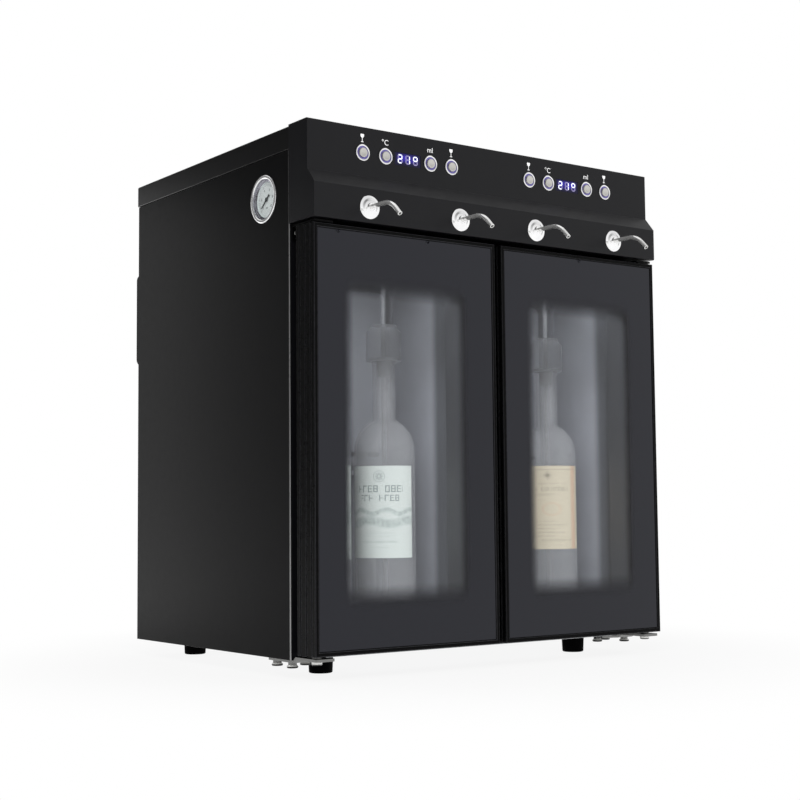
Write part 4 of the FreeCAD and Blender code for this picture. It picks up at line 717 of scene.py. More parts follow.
@dataclass(frozen=True)
class Spangled(Finish):
    """Hot-dip zinc with its crystals."""

    colour: Colour = (0.48, 0.49, 0.5)

    def shade(self, graph: Graph) -> None:
        """Metal whose tone and sheen change from crystal to crystal."""
        patch = graph.calc("FRACT", graph.calc("MULTIPLY", graph.cells(140).outputs["Color"], 3.7))
        graph.set(Base_Color=graph.blend(patch, tuple(c * 0.86 for c in self.colour), self.colour),
                  Metallic=1.0, Roughness=graph.between(patch, 0, 1, 0.34, 0.5))


@dataclass(frozen=True)
class Glow(Finish):
    """A lit surface under clear plastic."""

    colour: Colour
    strength: float
    body: Colour = (0.3, 0.3, 0.32)

    def shade(self, graph: Graph) -> None:
        """A glow that is a little uneven, as lamps behind a guide are."""
        graph.set(Base_Color=self.body, Roughness=0.3, Emission_Strength=self.strength,
                  Emission_Color=graph.tone(self.colour, 0.12, 260))


@dataclass(frozen=True)
class ClearPlastic(Finish):
    """Clear or tinted plastic or glass that passes light straight on."""

    tint: Colour
    body: float = 0.15
    milk: Colour = (0.5, 0.5, 0.52)
    roughness: float = 0.08

    def shade(self, graph: Graph) -> None:
        """See-through, with a faint milky body and a glossy face."""
        graph.set(Base_Color=graph.tone(self.milk, 0.05, 40), Roughness=self.roughness,
                  Specular_IOR_Level=0.6)
        share = graph.calc("MAXIMUM", graph.mirror_share(0.02), self.body)
        graph.show(graph.mixed(share, graph.clear(self.tint), graph.shader.outputs[0]))


@dataclass(frozen=True)
class PrintedGlass(Finish):
    """Door glass: black ceramic print round a clear window whose edge fades."""

    window: Span
    fades: Pair = (18 * MM, 32 * MM)
    print_colour: Colour = (0.004, 0.004, 0.006)
    tint: Colour = (0.885, 0.89, 0.9)

    def shade(self, graph: Graph) -> None:
        """One glossy face over a mask that opens in the window."""
        x, _, z = graph.axes()
        middle, half = self.window.middle, self.window.size / 2
        reach = []
        for value, centre, extent, fade in ((x, middle.x, half.x, self.fades[0]),
                                            (z, middle.z, half.z, self.fades[1])):
            reach.append(graph.between(graph.off(value, centre), extent - fade, extent, 0, 1))
        printed = graph.between(graph.length(*reach), 0, 1, 0, 1, soft=True)
        graph.set(Base_Color=self.print_colour, Specular_IOR_Level=0.4,
                  Specular_Tint=(0.86, 0.88, 1.0), Roughness=graph.drift(11, 0.02, 0.05, 3))
        gloss = graph.add("ShaderNodeBsdfGlossy")
        gloss.inputs["Roughness"].default_value = 0.03
        pane = graph.mixed(graph.mirror_share(0.03), graph.clear(self.tint), gloss.outputs[0])
        graph.show(graph.mixed(printed, pane, graph.shader.outputs[0]))


class Motif(Enum):
    """The ornament of a label."""

    ROSETTE = "an eight-petalled rosette over wave ribbons"
    DIAMOND = "a small diamond over an oval ring"


@dataclass(frozen=True)
class Row:
    """A printed row of a label: its height as a share, and its measures."""

    share: float
    reach: float
    half: float
    shade: float = 1.0
    shift: float = 0.0


PRINTED_ROWS: dict[Motif, tuple[Row, ...]] = {
    Motif.ROSETTE: (
        Row(0.75, 30 * MM, 4.2 * MM), Row(0.65, 25 * MM, 3.8 * MM), Row(0.27, 20 * MM, 0.6 * MM, 0.5),
        Row(0.235, 20 * MM, 0.6 * MM, 0.5), Row(0.175, 22 * MM, 1.3 * MM, 0.6),
        Row(0.115, 12 * MM, 0.8 * MM, 0.35)),
    Motif.DIAMOND: (
        Row(0.785, 20 * MM, 1.1 * MM, 0.5), Row(0.72, 24 * MM, 2.6 * MM, 0.7),
        Row(0.655, 14 * MM, 1.2 * MM, 0.5, -9 * MM), Row(0.335, 13 * MM, 0.7 * MM, 0.7, -9 * MM),
        Row(0.29, 22 * MM, 0.7 * MM, 0.8), Row(0.245, 13 * MM, 0.7 * MM, 0.8, -9 * MM),
        Row(0.2, 22 * MM, 0.7 * MM, 0.8), Row(0.155, 13 * MM, 0.7 * MM, 0.8, -9 * MM),
        Row(0.105, 22 * MM, 1.3 * MM, 0.7, 8 * MM)),
}


@dataclass(frozen=True)
class LabelPaper(Finish):
    """A paper label round a bottle, printed with a plain ornament and wordless rows."""

    paper: Colour
    ink: Colour
    accent: Colour
    motif: Motif
    axis: Pair
    turn: float
    radius: float
    foot: float
    width: float
    height: float
    ornament: float = 0.885

    def band(self, graph: Graph, value: object, centre: float, half: float) -> Socket:
        """1 where a value is within a half width of a centre."""
        return graph.calc("LESS_THAN", graph.off(value, centre), half)

    def rosette(self, graph: Graph, along: object, up: object) -> Socket:
        """Eight petals in a thin ring."""
        rise = graph.calc("SUBTRACT", up, self.height * self.ornament)
        away = graph.length(along, rise)
        turn = graph.calc("MULTIPLY", graph.calc("ARCTAN2", rise, along), 8.0)
        edge = graph.calc("MULTIPLY", graph.calc("ADD", graph.calc("COSINE", turn), 2.6), 1.5 * MM)
        petals = graph.calc("LESS_THAN", away, edge)
        petals = graph.calc("SUBTRACT", petals, graph.calc("LESS_THAN", away, 1.5 * MM))
        return graph.calc("MAXIMUM", petals, self.band(graph, away, 6.8 * MM, 0.4 * MM))

    def waves(self, graph: Graph, along: object, up: object) -> Socket:
        """Two soft ribbons that swing across the label."""
        ribbons = []
        for share, length, swing, half in ((0.5, 34 * MM, 2.6 * MM, 4.4 * MM),
                                           (0.39, 52 * MM, -2.2 * MM, 7.5 * MM)):
            crest = graph.calc("SINE", graph.calc("MULTIPLY", along, math.tau / length))
            crest = graph.calc("ADD", graph.calc("MULTIPLY", crest, swing), self.height * share)
            ribbons.append(graph.between(graph.off(up, crest), half * 0.3, half, 1, 0, True))
        grain = graph.between(graph.noise(260, 4), 0.35, 0.65, 0.35, 0.9)
        return graph.calc("MULTIPLY", graph.calc("MAXIMUM", *ribbons), grain)

    def diamond(self, graph: Graph, along: object, up: object) -> Socket:
        """A small filled diamond in an outline."""
        rise = graph.off(up, self.height * self.ornament)
        away = graph.calc("ADD", graph.off(along, -5 * MM), rise)
        ring = self.band(graph, away, 5.6 * MM, 0.4 * MM)
        return graph.calc("MAXIMUM", ring, graph.calc("LESS_THAN", away, 3.6 * MM))

    def oval(self, graph: Graph, along: object, up: object) -> Socket:
        """A soft oval ring, and a warm band of painted shade near the label's right edge."""
        rise = graph.calc("MULTIPLY", graph.calc("SUBTRACT", up, self.height * 0.48), 1.5)
        ring = graph.off(graph.length(along, rise), 12 * MM)
        ring = graph.between(ring, 0.5 * MM, 2.6 * MM, 0.4, 0, True)
        # a warm band of painted shade near the label's right edge
        shade_band = graph.off(along, self.width / 2 - 17 * MM)
        return graph.calc("MAXIMUM", ring, graph.between(shade_band, 3 * MM, 7 * MM, 0.75, 0, True))

    def row(self, graph: Graph, along: object, up: object, row: Row) -> Socket:
        """A row of made-up signs: in each cell, some of two strokes and three bars."""
        middle = self.height * row.share
        inside = self.band(graph, up, middle, row.half)
        inside = graph.calc("MULTIPLY", inside, self.band(graph, along, row.shift, row.reach))
        place_in_row = graph.calc("DIVIDE", along, max(1.75 * row.half, 2.2 * MM))
        dice = graph.add("ShaderNodeTexWhiteNoise", noise_dimensions="1D")
        seed = graph.calc("ADD", graph.calc("FLOOR", place_in_row), row.share * 40)
        graph.join(seed, dice.inputs["W"])
        chance = [dice.outputs["Value"]]
        for factor in (7.3, 13.7, 29.1):
            chance.append(graph.calc("FRACT", graph.calc("MULTIPLY", chance[0], factor)))
        across = graph.calc("FRACT", place_in_row)
        rise = graph.calc("DIVIDE", graph.calc("SUBTRACT", up, middle), row.half)
        cell = graph.calc("LESS_THAN", across, 0.78)
        marks = self.band(graph, across, 0.1, 0.1)
        strokes = ((across, 0.68, 0.1, 0.45), (rise, 0.85, 0.15, 0.4), (rise, 0.0, 0.12, 0.45),
                   (rise, -0.85, 0.15, 0.5))
        for (value, centre, half, limit), draw in zip(strokes, chance):
            part = graph.calc("MULTIPLY", self.band(graph, value, centre, half),
                              graph.calc("GREATER_THAN", draw, limit))
            marks = graph.calc("MAXIMUM", marks, graph.calc("MULTIPLY", part, cell))
        marks = graph.calc("MULTIPLY", marks, graph.calc("GREATER_THAN", chance[3], 0.12))
        return graph.calc("MULTIPLY", graph.calc("MULTIPLY", marks, inside), row.shade)

    def shade(self, graph: Graph) -> None:
        """Paper with fibres, an ornament and wordless rows."""
        x, y, z = graph.axes()
        sideways = graph.calc("SUBTRACT", x, self.axis[0])
        forward = graph.calc("SUBTRACT", self.axis[1], y)
        angle = graph.calc("SUBTRACT", graph.calc("ARCTAN2", sideways, forward), self.turn)
        along = graph.calc("MULTIPLY", angle, self.radius)
        up = graph.calc("SUBTRACT", z, self.foot)
        if self.motif is Motif.ROSETTE:
            marks = graph.calc("MULTIPLY", self.rosette(graph, along, up), 0.7)
            tint = self.waves(graph, along, up)
        else:
            line = self.band(graph, up, self.height - 5 * MM, 0.5 * MM)
            marks = graph.calc("MAXIMUM", graph.calc("MULTIPLY", line, 0.5),
                               self.diamond(graph, along, up))
            # this tint holds the oval ring and the painted shade band
            tint = self.oval(graph, along, up)
        for row in PRINTED_ROWS[self.motif]:
            marks = graph.calc("MAXIMUM", marks, self.row(graph, along, up, row))
        worn = graph.calc("MULTIPLY", marks, graph.drift(700, 0.6, 0.95, 3))
        printed = graph.blend(tint, graph.tone(self.paper, 0.03, 500), self.accent)
        graph.set(Base_Color=graph.blend(worn, printed, self.ink), Specular_IOR_Level=0.3,
                  Roughness=graph.drift(90, 0.5, 0.62))
        graph.relief(graph.noise(1300, 3), 0.02 * MM)


@dataclass(frozen=True)
class DisplayFace(Finish):
    """Blue display window that glows round its digits."""

    middle: Vector
    half_width: float
    half_height: float

    def shade(self, graph: Graph) -> None:
        """Deep blue, brighter behind the digits and fading to the lower edge."""
        x, _, z = graph.axes()
        wide, high = self.half_width, self.half_height
        sides = graph.between(graph.off(x, self.middle.x), wide * 0.55, wide * 0.96, 1, 0, True)
        rise = graph.between(graph.off(z, self.middle.z + 1.5 * MM), 0, high, 1, 0, True)
        blotch = graph.between(graph.noise(190), 0.35, 0.65, 0.35, 1)
        fall = graph.calc("MULTIPLY", graph.calc("MULTIPLY", sides, rise), blotch)
        graph.set(Base_Color=(0.004, 0.004, 0.02), Specular_IOR_Level=0.2, Emission_Strength=1.0,
                  Roughness=graph.drift(80, 0.1, 0.16),
                  Emission_Color=graph.blend(fall, (0.003, 0.002, 0.012), (0.045, 0.028, 0.5)))


@dataclass(frozen=True)
class Board(Finish):
    """Green circuit board with traces."""

    def shade(self, graph: Graph) -> None:
        """Traces as paler bands under the mask."""
        x, _, z = graph.axes()
        cells = [graph.calc("FRACT", graph.calc("MULTIPLY", value, 260.0)) for value in (x, z)]
        lines = graph.calc("LESS_THAN", graph.calc("MINIMUM", *cells), 0.3)
        lines = graph.calc("MULTIPLY", lines, graph.between(graph.noise(90), 0.48, 0.52, 0, 1))
        graph.set(Base_Color=graph.blend(lines, (0.012, 0.1, 0.045), (0.03, 0.2, 0.09)),
                  Roughness=0.3)


@dataclass(frozen=True)
class Foam(Finish):
    """Rigid foam with its cells."""

    def shade(self, graph: Graph) -> None:
        """Cream cells of many sizes."""
        graph.set(Base_Color=graph.tone((0.66, 0.6, 0.42), 0.1, 30), Roughness=0.85)
        graph.relief(graph.cells(420).outputs["Distance"], 0.4 * MM)


CHARCOAL = PowderPaint("charcoal_powder_paint", (0.0033, 0.0033, 0.0036), 0.4, 0.05)
COVER_PAINT = PowderPaint("cover_powder_paint", (0.004, 0.004, 0.0044), 0.4, 0.15)
HEAD_PAINT = PowderPaint("head_satin_paint", (0.0058, 0.0058, 0.0072), 0.34, 0.21, 0.02 * MM)
DOOR_BLACK = PowderPaint("door_rail_black", (0.002, 0.002, 0.0022), 0.28, 0.05, 0.01 * MM)
# brighter metal on the eased edges of paint and plastic: painted highlight lines
PAINT_EDGE_HIGHLIGHT = Metal("paint_edge_sheen", (0.2, 0.2, 0.2), 0.3)
RAIL_EDGE_HIGHLIGHT = Metal("rail_edge_sheen", (0.11, 0.11, 0.12), 0.3)
FOLD_EDGE_HIGHLIGHT = Metal("folded_edge_sheen", (0.34, 0.34, 0.34), 0.3)
HEAD_EDGE_HIGHLIGHT = Metal("head_edge_sheen", (0.14, 0.14, 0.15), 0.3)
HINGE_PLATE = Metal("zinc_plate", (0.2, 0.2, 0.195), 0.24, (1, 0.1, 1))
ZINC = Spangled("galvanised_steel")
LINER = MouldedPlastic("liner_grey_plastic", linear(151, 153, 159), 0.5)
LINER_DARK = MouldedPlastic("door_panel_plastic", linear(86, 88, 93), 0.5)
DARK_PLASTIC = MouldedPlastic("black_moulded_plastic", (0.02, 0.02, 0.021), 0.45)
FAN_BLACK = MouldedPlastic("fan_black_plastic", (0.014, 0.014, 0.015), 0.32, 0.5)
RUBBER = Rubber("black_rubber")
FOOT_RUBBER = Rubber("foot_rubber", (0.0012, 0.0012, 0.0013), 0.02)
POLISHED = Metal("polished_steel", (0.95, 0.95, 0.96), 0.05, depth=0.0005 * MM)
DRAWN = Metal("drawn_spout_steel", (0.95, 0.945, 0.93), 0.1, (1, 0.1, 1), 0.001 * MM, share=0.72)
# darker violet-grey steel for the gauge's recess: painted shade
GAUGE_RECESS_SHADE = Metal("gauge_recess_steel", (0.44, 0.42, 0.48), 0.14, depth=0.001 * MM)
CHROME = Metal("gauge_chrome_plate", (0.95, 0.95, 0.96), 0.1, depth=0.001 * MM, share=0.74)
SATIN = Metal("satin_button_steel", (0.6, 0.59, 0.56), 0.26, (1, 1, 0.08))
ZINC_BOLTS = Metal("bolt_zinc", (0.62, 0.62, 0.6), 0.14)
BRASS = Metal("brass", (0.7, 0.5, 0.24), 0.25)
NICKEL = Metal("nickel", (0.66, 0.64, 0.6), 0.2)
ALUMINIUM = Metal("sawn_aluminium", (0.72, 0.73, 0.74), 0.4, (1, 1, 0.06))
RING_GLOW = Glow("button_ring_glow", (0.17, 0.13, 0.5), 0.5, (0.1, 0.1, 0.2))
DIGIT_GLOW = Glow("digit_glow", (0.8, 0.84, 1.0), 1.4)
DIGIT_OFF = Glow("digit_unlit", linear(150, 140, 190), 0.75, (0.1, 0.1, 0.16))
LAMP_GLOW = Glow("light_bar_lens", (0.97, 0.98, 1.0), 1.6, (0.8, 0.8, 0.8))
# white print given a faint glow: painted light, as the print is no lamp
GLOWING_WHITE_PRINT = Glow("white_print", (1.0, 1.0, 1.0), 0.3, (0.9, 0.9, 0.9))
BLACK_PRINT = MouldedPlastic("black_print", (0.02, 0.022, 0.025), 0.5)
RING_WHITE = MouldedPlastic("dial_ring_enamel", linear(244, 255, 253), 0.3)
DIAL_WHITE = MouldedPlastic("dial_plate", linear(248, 255, 252), 0.4)
CLEAR = ClearPlastic("clear_lens", (0.97, 0.98, 0.98), 0.02)
PANE = ClearPlastic("inner_pane", (0.96, 0.965, 0.97), 0.02)
TUBE = ClearPlastic("clear_tube_wall", (0.93, 0.94, 0.95), 0.16, (0.7, 0.71, 0.73))
GAS_TUBE = ClearPlastic("clear_gas_tube", (0.93, 0.935, 0.95), 0.08, (0.3, 0.31, 0.34))
BOTTLE_GLASS = ClearPlastic("pale_bottle_glass", (0.95, 0.953, 0.957), 0.13, (0.7, 0.71, 0.73), 0.05)
STOPPER_BODY = ClearPlastic("frosted_stopper", (0.9, 0.903, 0.907), 0.26, (0.33, 0.34, 0.355), 0.4)
VALVE_GREY = MouldedPlastic("valve_grey", (0.12, 0.13, 0.14), 0.4)
FOAM = Foam("foam")
BOARD = Board("board")


def place(piece: Piece, finish: Finish, slot: str, *nodes: str, body: str = "cabinet",
          edges: Finish | None = None) -> None:
    """Dress a finished piece and hand it to the frame.

    Args:
        piece: The piece, in its place.
        finish: Its finish.
        slot: The record's material slot that it stands for; not used.
        *nodes: The solids that it is shown in place of.
        body: The body that it rides on.
        edges: The finish of its eased edges, in the second slot, a brighter metal that paints a
            highlight line along them.
    """
    finish.dress(piece)
    if edges:
        edges.dress(piece, first=1)
    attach(piece, body)
    if nodes:
        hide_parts(*nodes)
    LOG.info("%s: %d faces on %s", piece.name, len(piece.data.polygons), body)


def carry(node: str, finish: Finish, slot: str, width: float = 0.0, angle: float = SMOOTH_DEG,
          body: str = "cabinet", edges: Finish | None = None) -> None:
    """Refine a solid, as refined() does, and place it in its own stead, as place() does."""
    piece = refined(node, width, angle, 2 if edges else 1)
    place(piece, finish, slot, node, body=body, edges=edges)


def soft_lamp(name: str, at: Vector, towards: Vector, size: Pair, power: float,
              mirrored: bool = False, through: bool = True) -> None:
    """A soft lamp that the camera doesn't see.

    Args:
        name: Name of the lamp.
        at: Its place.
        towards: The point that it faces.
        size: Its width and height.
        power: Its power in watts.
        mirrored: Whether glossy surfaces show it.
        through: Whether it is seen through glass.
    """
    data = bpy.data.lights.new(name, "AREA")
    data.shape, data.energy = "RECTANGLE", power
    data.size, data.size_y = size
    lamp = bpy.data.objects.new(name, data)
    bpy.context.scene.collection.objects.link(lamp)
    lamp.location = at
    lamp.rotation_euler = (Vector(towards) - Vector(at)).to_track_quat("-Z", "Y").to_euler()
    lamp.visible_camera, lamp.visible_glossy, lamp.visible_transmission = False, mirrored, through


# ------------------------------------------------------------------ studio
class Surroundings(Graph):
    """Nodes of the white world round the object."""

    def __init__(self) -> None:
        """Start the world with its background."""
        world = bpy.data.worlds.new("white_surroundings")
        bpy.context.scene.world = world
        world.use_nodes = True
        self.tree = world.node_tree
        self.where = self.add("ShaderNodeTexCoord").outputs["Generated"]

    def towards(self, direction: Vector, low: float, high: float, dim: float) -> Socket:
        """How bright the surroundings are to a mirror that looks along a direction.

        Args:
            direction: The bright direction.
            low: Cosine at which the light begins.
            high: Cosine at which it is full.
            dim: Brightness away from it.

        Returns:
            The brightness, up to 1.
        """
        cosine = self.add("ShaderNodeVectorMath", operation="DOT_PRODUCT")
        self.join(self.where, cosine.inputs[0])
        cosine.inputs[1].default_value = direction.normalized()
        return self.between(cosine.outputs["Value"], low, high, dim, 1)


@dataclass
class Studio:
    """Camera, white surroundings, pale floor and soft lamps."""

    eye: Vector = Vector((-1.15085, -1.579033, 0.18558))
    target: Vector = Vector((-0.15023, -0.204893, 0.31551))
    lens: float = 66.42
    roll: float = -0.53
    surround: float = 0.5
    bright_side: Vector = Vector((0.6, -0.8, -0.9))
    overhead: Vector = Vector((-0.05, 0.4, 0.92))
    aslant: Vector = Vector((0.65, 0.06, 0.76))
    floor_reach: float = 4.0
    lamp_aim: Vector = Vector((0, -0.1, 0.35))
    lamp_size: Pair = (1.4, 1.4)

    def camera(self) -> None:
        """Set up the camera at its stand."""
        data = bpy.data.cameras.new("studio_camera")
        data.lens, data.sensor_width = self.lens, 36
        camera = bpy.data.objects.new("studio_camera", data)
        bpy.context.scene.collection.objects.link(camera)
        turn = (self.target - self.eye).to_track_quat("-Z", "Y")
        camera.rotation_mode = "QUATERNION"
        camera.rotation_quaternion = turn @ Quaternion((0, 0, 1), math.radians(self.roll))
        camera.location = self.eye
        bpy.context.scene.camera = camera

    def surroundings(self) -> None:
        """White surroundings: softer on matt faces, to a mirror bright in front and overhead."""
        graph = Surroundings()
        mirrored = graph.towards(self.bright_side, -0.3, 0.6, 0.1)
        for direction, low, high in ((self.overhead, 0.8, 0.93), (self.aslant, 0.6, 1.08)):
            mirrored = graph.calc("MAXIMUM", mirrored, graph.towards(direction, low, high, 0))
        path = graph.add("ShaderNodeLightPath")
        strength = self.surround
        for ray, value in (("Is Glossy Ray", mirrored), ("Is Transmission Ray", 1.0),
                           ("Is Camera Ray", 1.0)):
            strength = graph.between(path.outputs[ray], 0, 1, strength, value)
        background = graph.tree.nodes["Background"]
        graph.join(strength, background.inputs["Strength"])
        background.inputs["Color"].default_value = (1, 1, 1, 1)

    def floor(self) -> None:
        """A wide pale floor that keeps the object's shadow near it."""
        start_fresh()
        bpy.ops.mesh.primitive_circle_add(vertices=96, radius=self.floor_reach, fill_type="NGON")
        floor = bpy.context.object
        floor.name = "studio_floor"
        graph = Graph("studio_floor")
        matt = graph.add("ShaderNodeBsdfDiffuse")
        matt.inputs["Color"].default_value = (0.86, 0.86, 0.86, 1)
        bright = graph.add("ShaderNodeEmission")
        x, y, _ = graph.axes()
        share = graph.between(graph.length(x, y), 0.3, 0.7, 0.88, 1, soft=True)
        path = graph.add("ShaderNodeLightPath")
        seen = graph.calc("MAXIMUM", path.outputs["Is Camera Ray"], path.outputs["Is Glossy Ray"])
        share = graph.calc("MULTIPLY", share, seen)
        graph.show(graph.mixed(share, matt.outputs[0], bright.outputs[0]))
        floor.data.materials.append(graph.material)

    def build(self) -> None:
        """Set up the whole studio."""
        bpy.context.scene.view_settings.view_transform = "Standard"
        self.camera()
        self.surroundings()
        self.floor()
        soft_lamp("key_lamp", (-1.6, -2.0, 1.9), self.lamp_aim, self.lamp_size, 26)
        soft_lamp("fill_lamp", (1.9, -1.8, 1.2), self.lamp_aim, self.lamp_size, 12)
        soft_lamp("side_lamp", (-0.44, 0.56, 0.26), (-0.27, 0.2, 0.26), (0.2, 0.9), 0.85, True)
        LOG.info("studio: camera, surroundings, floor and lamps")


# ------------------------------------------------------------------ cabinet
@dataclass
class CabinetShell:
    """Folded sheet round the machine, and the feet under it."""

    fold: float = 0.4 * MM
    front_fold: float = 1.5 * MM
    foot_taper: float = 1.0

    def side_panel(self, node: str) -> Piece:
        """A side panel with eased edges, its front fold in their slot, so the fold too gets the
        painted highlight.
        """
        piece = refined(node, self.fold, slots=2)
        front = bounds_of(piece).low.y + self.front_fold
        for face in piece.data.polygons:
            if face.center.y < front and min(abs(face.normal.x), abs(face.normal.y)) > 0.15:
                face.material_index = 1
        return piece

    def panels(self) -> None:
        """Painted panels and the bare sheet between them."""
        for side in Side:
            node = f"side_panel_{side.word}"
            place(self.side_panel(node), CHARCOAL, "charcoal_paint", node, edges=FOLD_EDGE_HIGHLIGHT)
        for node, paint in (("top_cover", COVER_PAINT), ("rear_cover", CHARCOAL)):
            carry(node, paint, "charcoal_paint", self.fold, edges=PAINT_EDGE_HIGHLIGHT)
        for node in ("back_panel", "base_plate"):
            carry(node, ZINC, "galvanised_sheet")
        carry("front_frame", HEAD_PAINT, "hinge_paint")

    def foot_rings(self, height: float, wide: float) -> Rings:
        """A tapered foot with a hollow sole and a thin flange, in millimetres."""
        narrow = wide - self.foot_taper
        return [(narrow * 0.35, 1.0), (narrow * 0.6, 1.0), (narrow * 0.66, 0), (narrow - 1.6, 0),
                (narrow - 0.6, 0.35), (narrow, 1.3), (wide - 0.25, height - 2.4),
                (wide - 0.25, height - 2.0), (wide, height - 1.7), (wide, height - 0.3),
                (wide - 0.3, height)]

    def feet(self) -> None:
        """Four rubber feet, each modelled from the first."""
        spans = solids_of("feet")
        bases = [Vector((s.middle.x, s.middle.y, 0)) for s in spans]
        rings = self.foot_rings(span_of("base_plate").low.z / MM, spans[0].size.x / 2 / MM)
        for piece in repeated(turned("foot_1", rings, bases[0]), "foot", bases):
            place(piece, FOOT_RUBBER, "black_rubber", "feet")

    def build(self) -> None:
        """Make the shell."""
        self.panels()
        self.feet()


# ------------------------------------------------------------------ tap head
@dataclass
class Button:
    """One lit push button: a polished bezel, a ring of light and a dished cap.

    Its sizes are in millimetres.
    """

    number: int
    face: Vector
    bezel_r: float = 9.85
    barrel_r: float = 8.6
    bore_r: float = 7.7
    proud: float = 1.7
    groove_r: float = 5.75
    cap_r: float = 5.7
    cap_front: float = 3.0
    board: float = 12.5

    def bezel(self) -> Piece:
        """The rim on the face with its barrel behind."""
        p, r, b = self.proud, self.bezel_r, self.bore_r
        rings = [(b, -self.board), (self.barrel_r, -self.board), (self.barrel_r, 0), (r, 0),
                 (r, p - 0.9), (r - 0.2, p - 0.35), (r - 0.7, p), (b + 0.7, p), (b + 0.2, p - 0.3),
                 (b, p - 0.8)]
        return turned(f"button_bezel_{self.number}", rings, self.face, Facing.FRONT, 56, True)

    def light(self) -> Piece:
        """The light guide between bezel and cap."""
        g, b, front = self.groove_r, self.bore_r, self.proud - 2.2
        rings = [(g, front - 2.5), (b, front - 2.5), (b, front - 0.2), (b - 0.3, front),
                 (g + 0.3, front), (g, front - 0.2)]
        return turned(f"button_light_{self.number}", rings, self.face, Facing.FRONT, 48, True)

    def cap(self, stem_end: float) -> Piece:
        """The cap with its dished face and its stem."""
        f, r = self.cap_front, self.cap_r
        rings = [(1.8, stem_end), (2.0, stem_end + 0.2), (2.0, f - 6.8), (r, f - 6.8), (r, f - 0.6),
                 (r - 0.2, f - 0.2), (r - 0.55, f), (r - 1.3, f - 0.02), (r - 2.4, f - 0.25),
                 (r - 4.2, f - 0.42), (0.4, f - 0.48)]
        return turned(f"button_cap_{self.number}", rings, self.face, Facing.FRONT, 48)

    def build(self) -> None:
        """Make the button and let its cap move."""
        node = f"button_{self.number}"
        stem_end = (self.face.y - span_of(node).high.y) / MM
        place(self.bezel(), POLISHED, "satin_steel", "button_bezels")
        place(self.light(), RING_GLOW, "ring_light", "button_light_rings")
        place(self.cap(stem_end), SATIN, "button_steel", node, body=node)


@dataclass
class Display:
    """A blue display with two digits and a degree sign, in seven-segment bars."""

    side: Side
    window: Span
    pitch: float = 11.2 * MM
    digit: Pair = (5.9 * MM, 9.4 * MM)
    stroke: float = 1.4 * MM
    thick: float = 0.06 * MM
    set_in: float = 0.3 * MM
    lit: tuple[str, ...] = ("abged", "bc", "abfg")

    def bar(self, name: str, at: Vector, upright: bool) -> Piece:
        """One segment with pointed ends, lying or upright round a place."""
        size = Vector((self.digit[0] - self.stroke, self.thick, self.stroke))
        if upright:
            size = Vector((self.stroke, self.thick, self.digit[1] / 2 - self.set_in))
        start_fresh()
        bpy.ops.mesh.primitive_cube_add(size=1, location=at, scale=size)
        piece = settle(bpy.context.object)
        piece.name = name
        edit(piece)
        choose(piece, "edges", lambda edge: (edge.verts[0].co - edge.verts[1].co).xz.length < WELD)
        bpy.ops.mesh.bevel(offset=self.stroke * 0.42, segments=1)
        start_fresh()
        return piece

    def segments(self, centre: Vector) -> dict[str, tuple[Vector, bool]]:
        """Where the seven segments of a digit lie."""
        dx, dz = Vector((self.digit[0] / 2 - self.set_in, 0, 0)), Vector((0, 0, self.digit[1] / 2))
        return {"a": (centre + dz, False), "g": (centre, False), "d": (centre - dz, False),
                "f": (centre - dx + dz / 2, True), "b": (centre + dx + dz / 2, True),
                "e": (centre - dx - dz / 2, True), "c": (centre + dx - dz / 2, True)}

    def build(self) -> None:
        """Make the window and its digits."""
        window, word = self.window, self.side.word
        pane = slab(f"display_{word}", window.low, window.high, 0.3 * MM)
        half = window.size / 2
        glow = DisplayFace(f"display_glow_{word}", window.middle, half.x, half.z)
        place(pane, glow, "display_blue", "displays")
        on, off = [], []
        for place_in_row, letters in zip((-1, 0, 1), self.lit):
            centre = Vector((window.middle.x + place_in_row * self.pitch, window.low.y - 0.04 * MM,
                             window.middle.z + 0.1 * MM))
            for letter, (at, upright) in self.segments(centre).items():
                group = on if letter in letters else off
                group.append(self.bar(f"bar_{letter}", at, upright))
        place(united(f"digits_{word}", on), DIGIT_GLOW, "display_blue")
        place(united(f"digits_unlit_{word}", off), DIGIT_OFF, "display_blue")


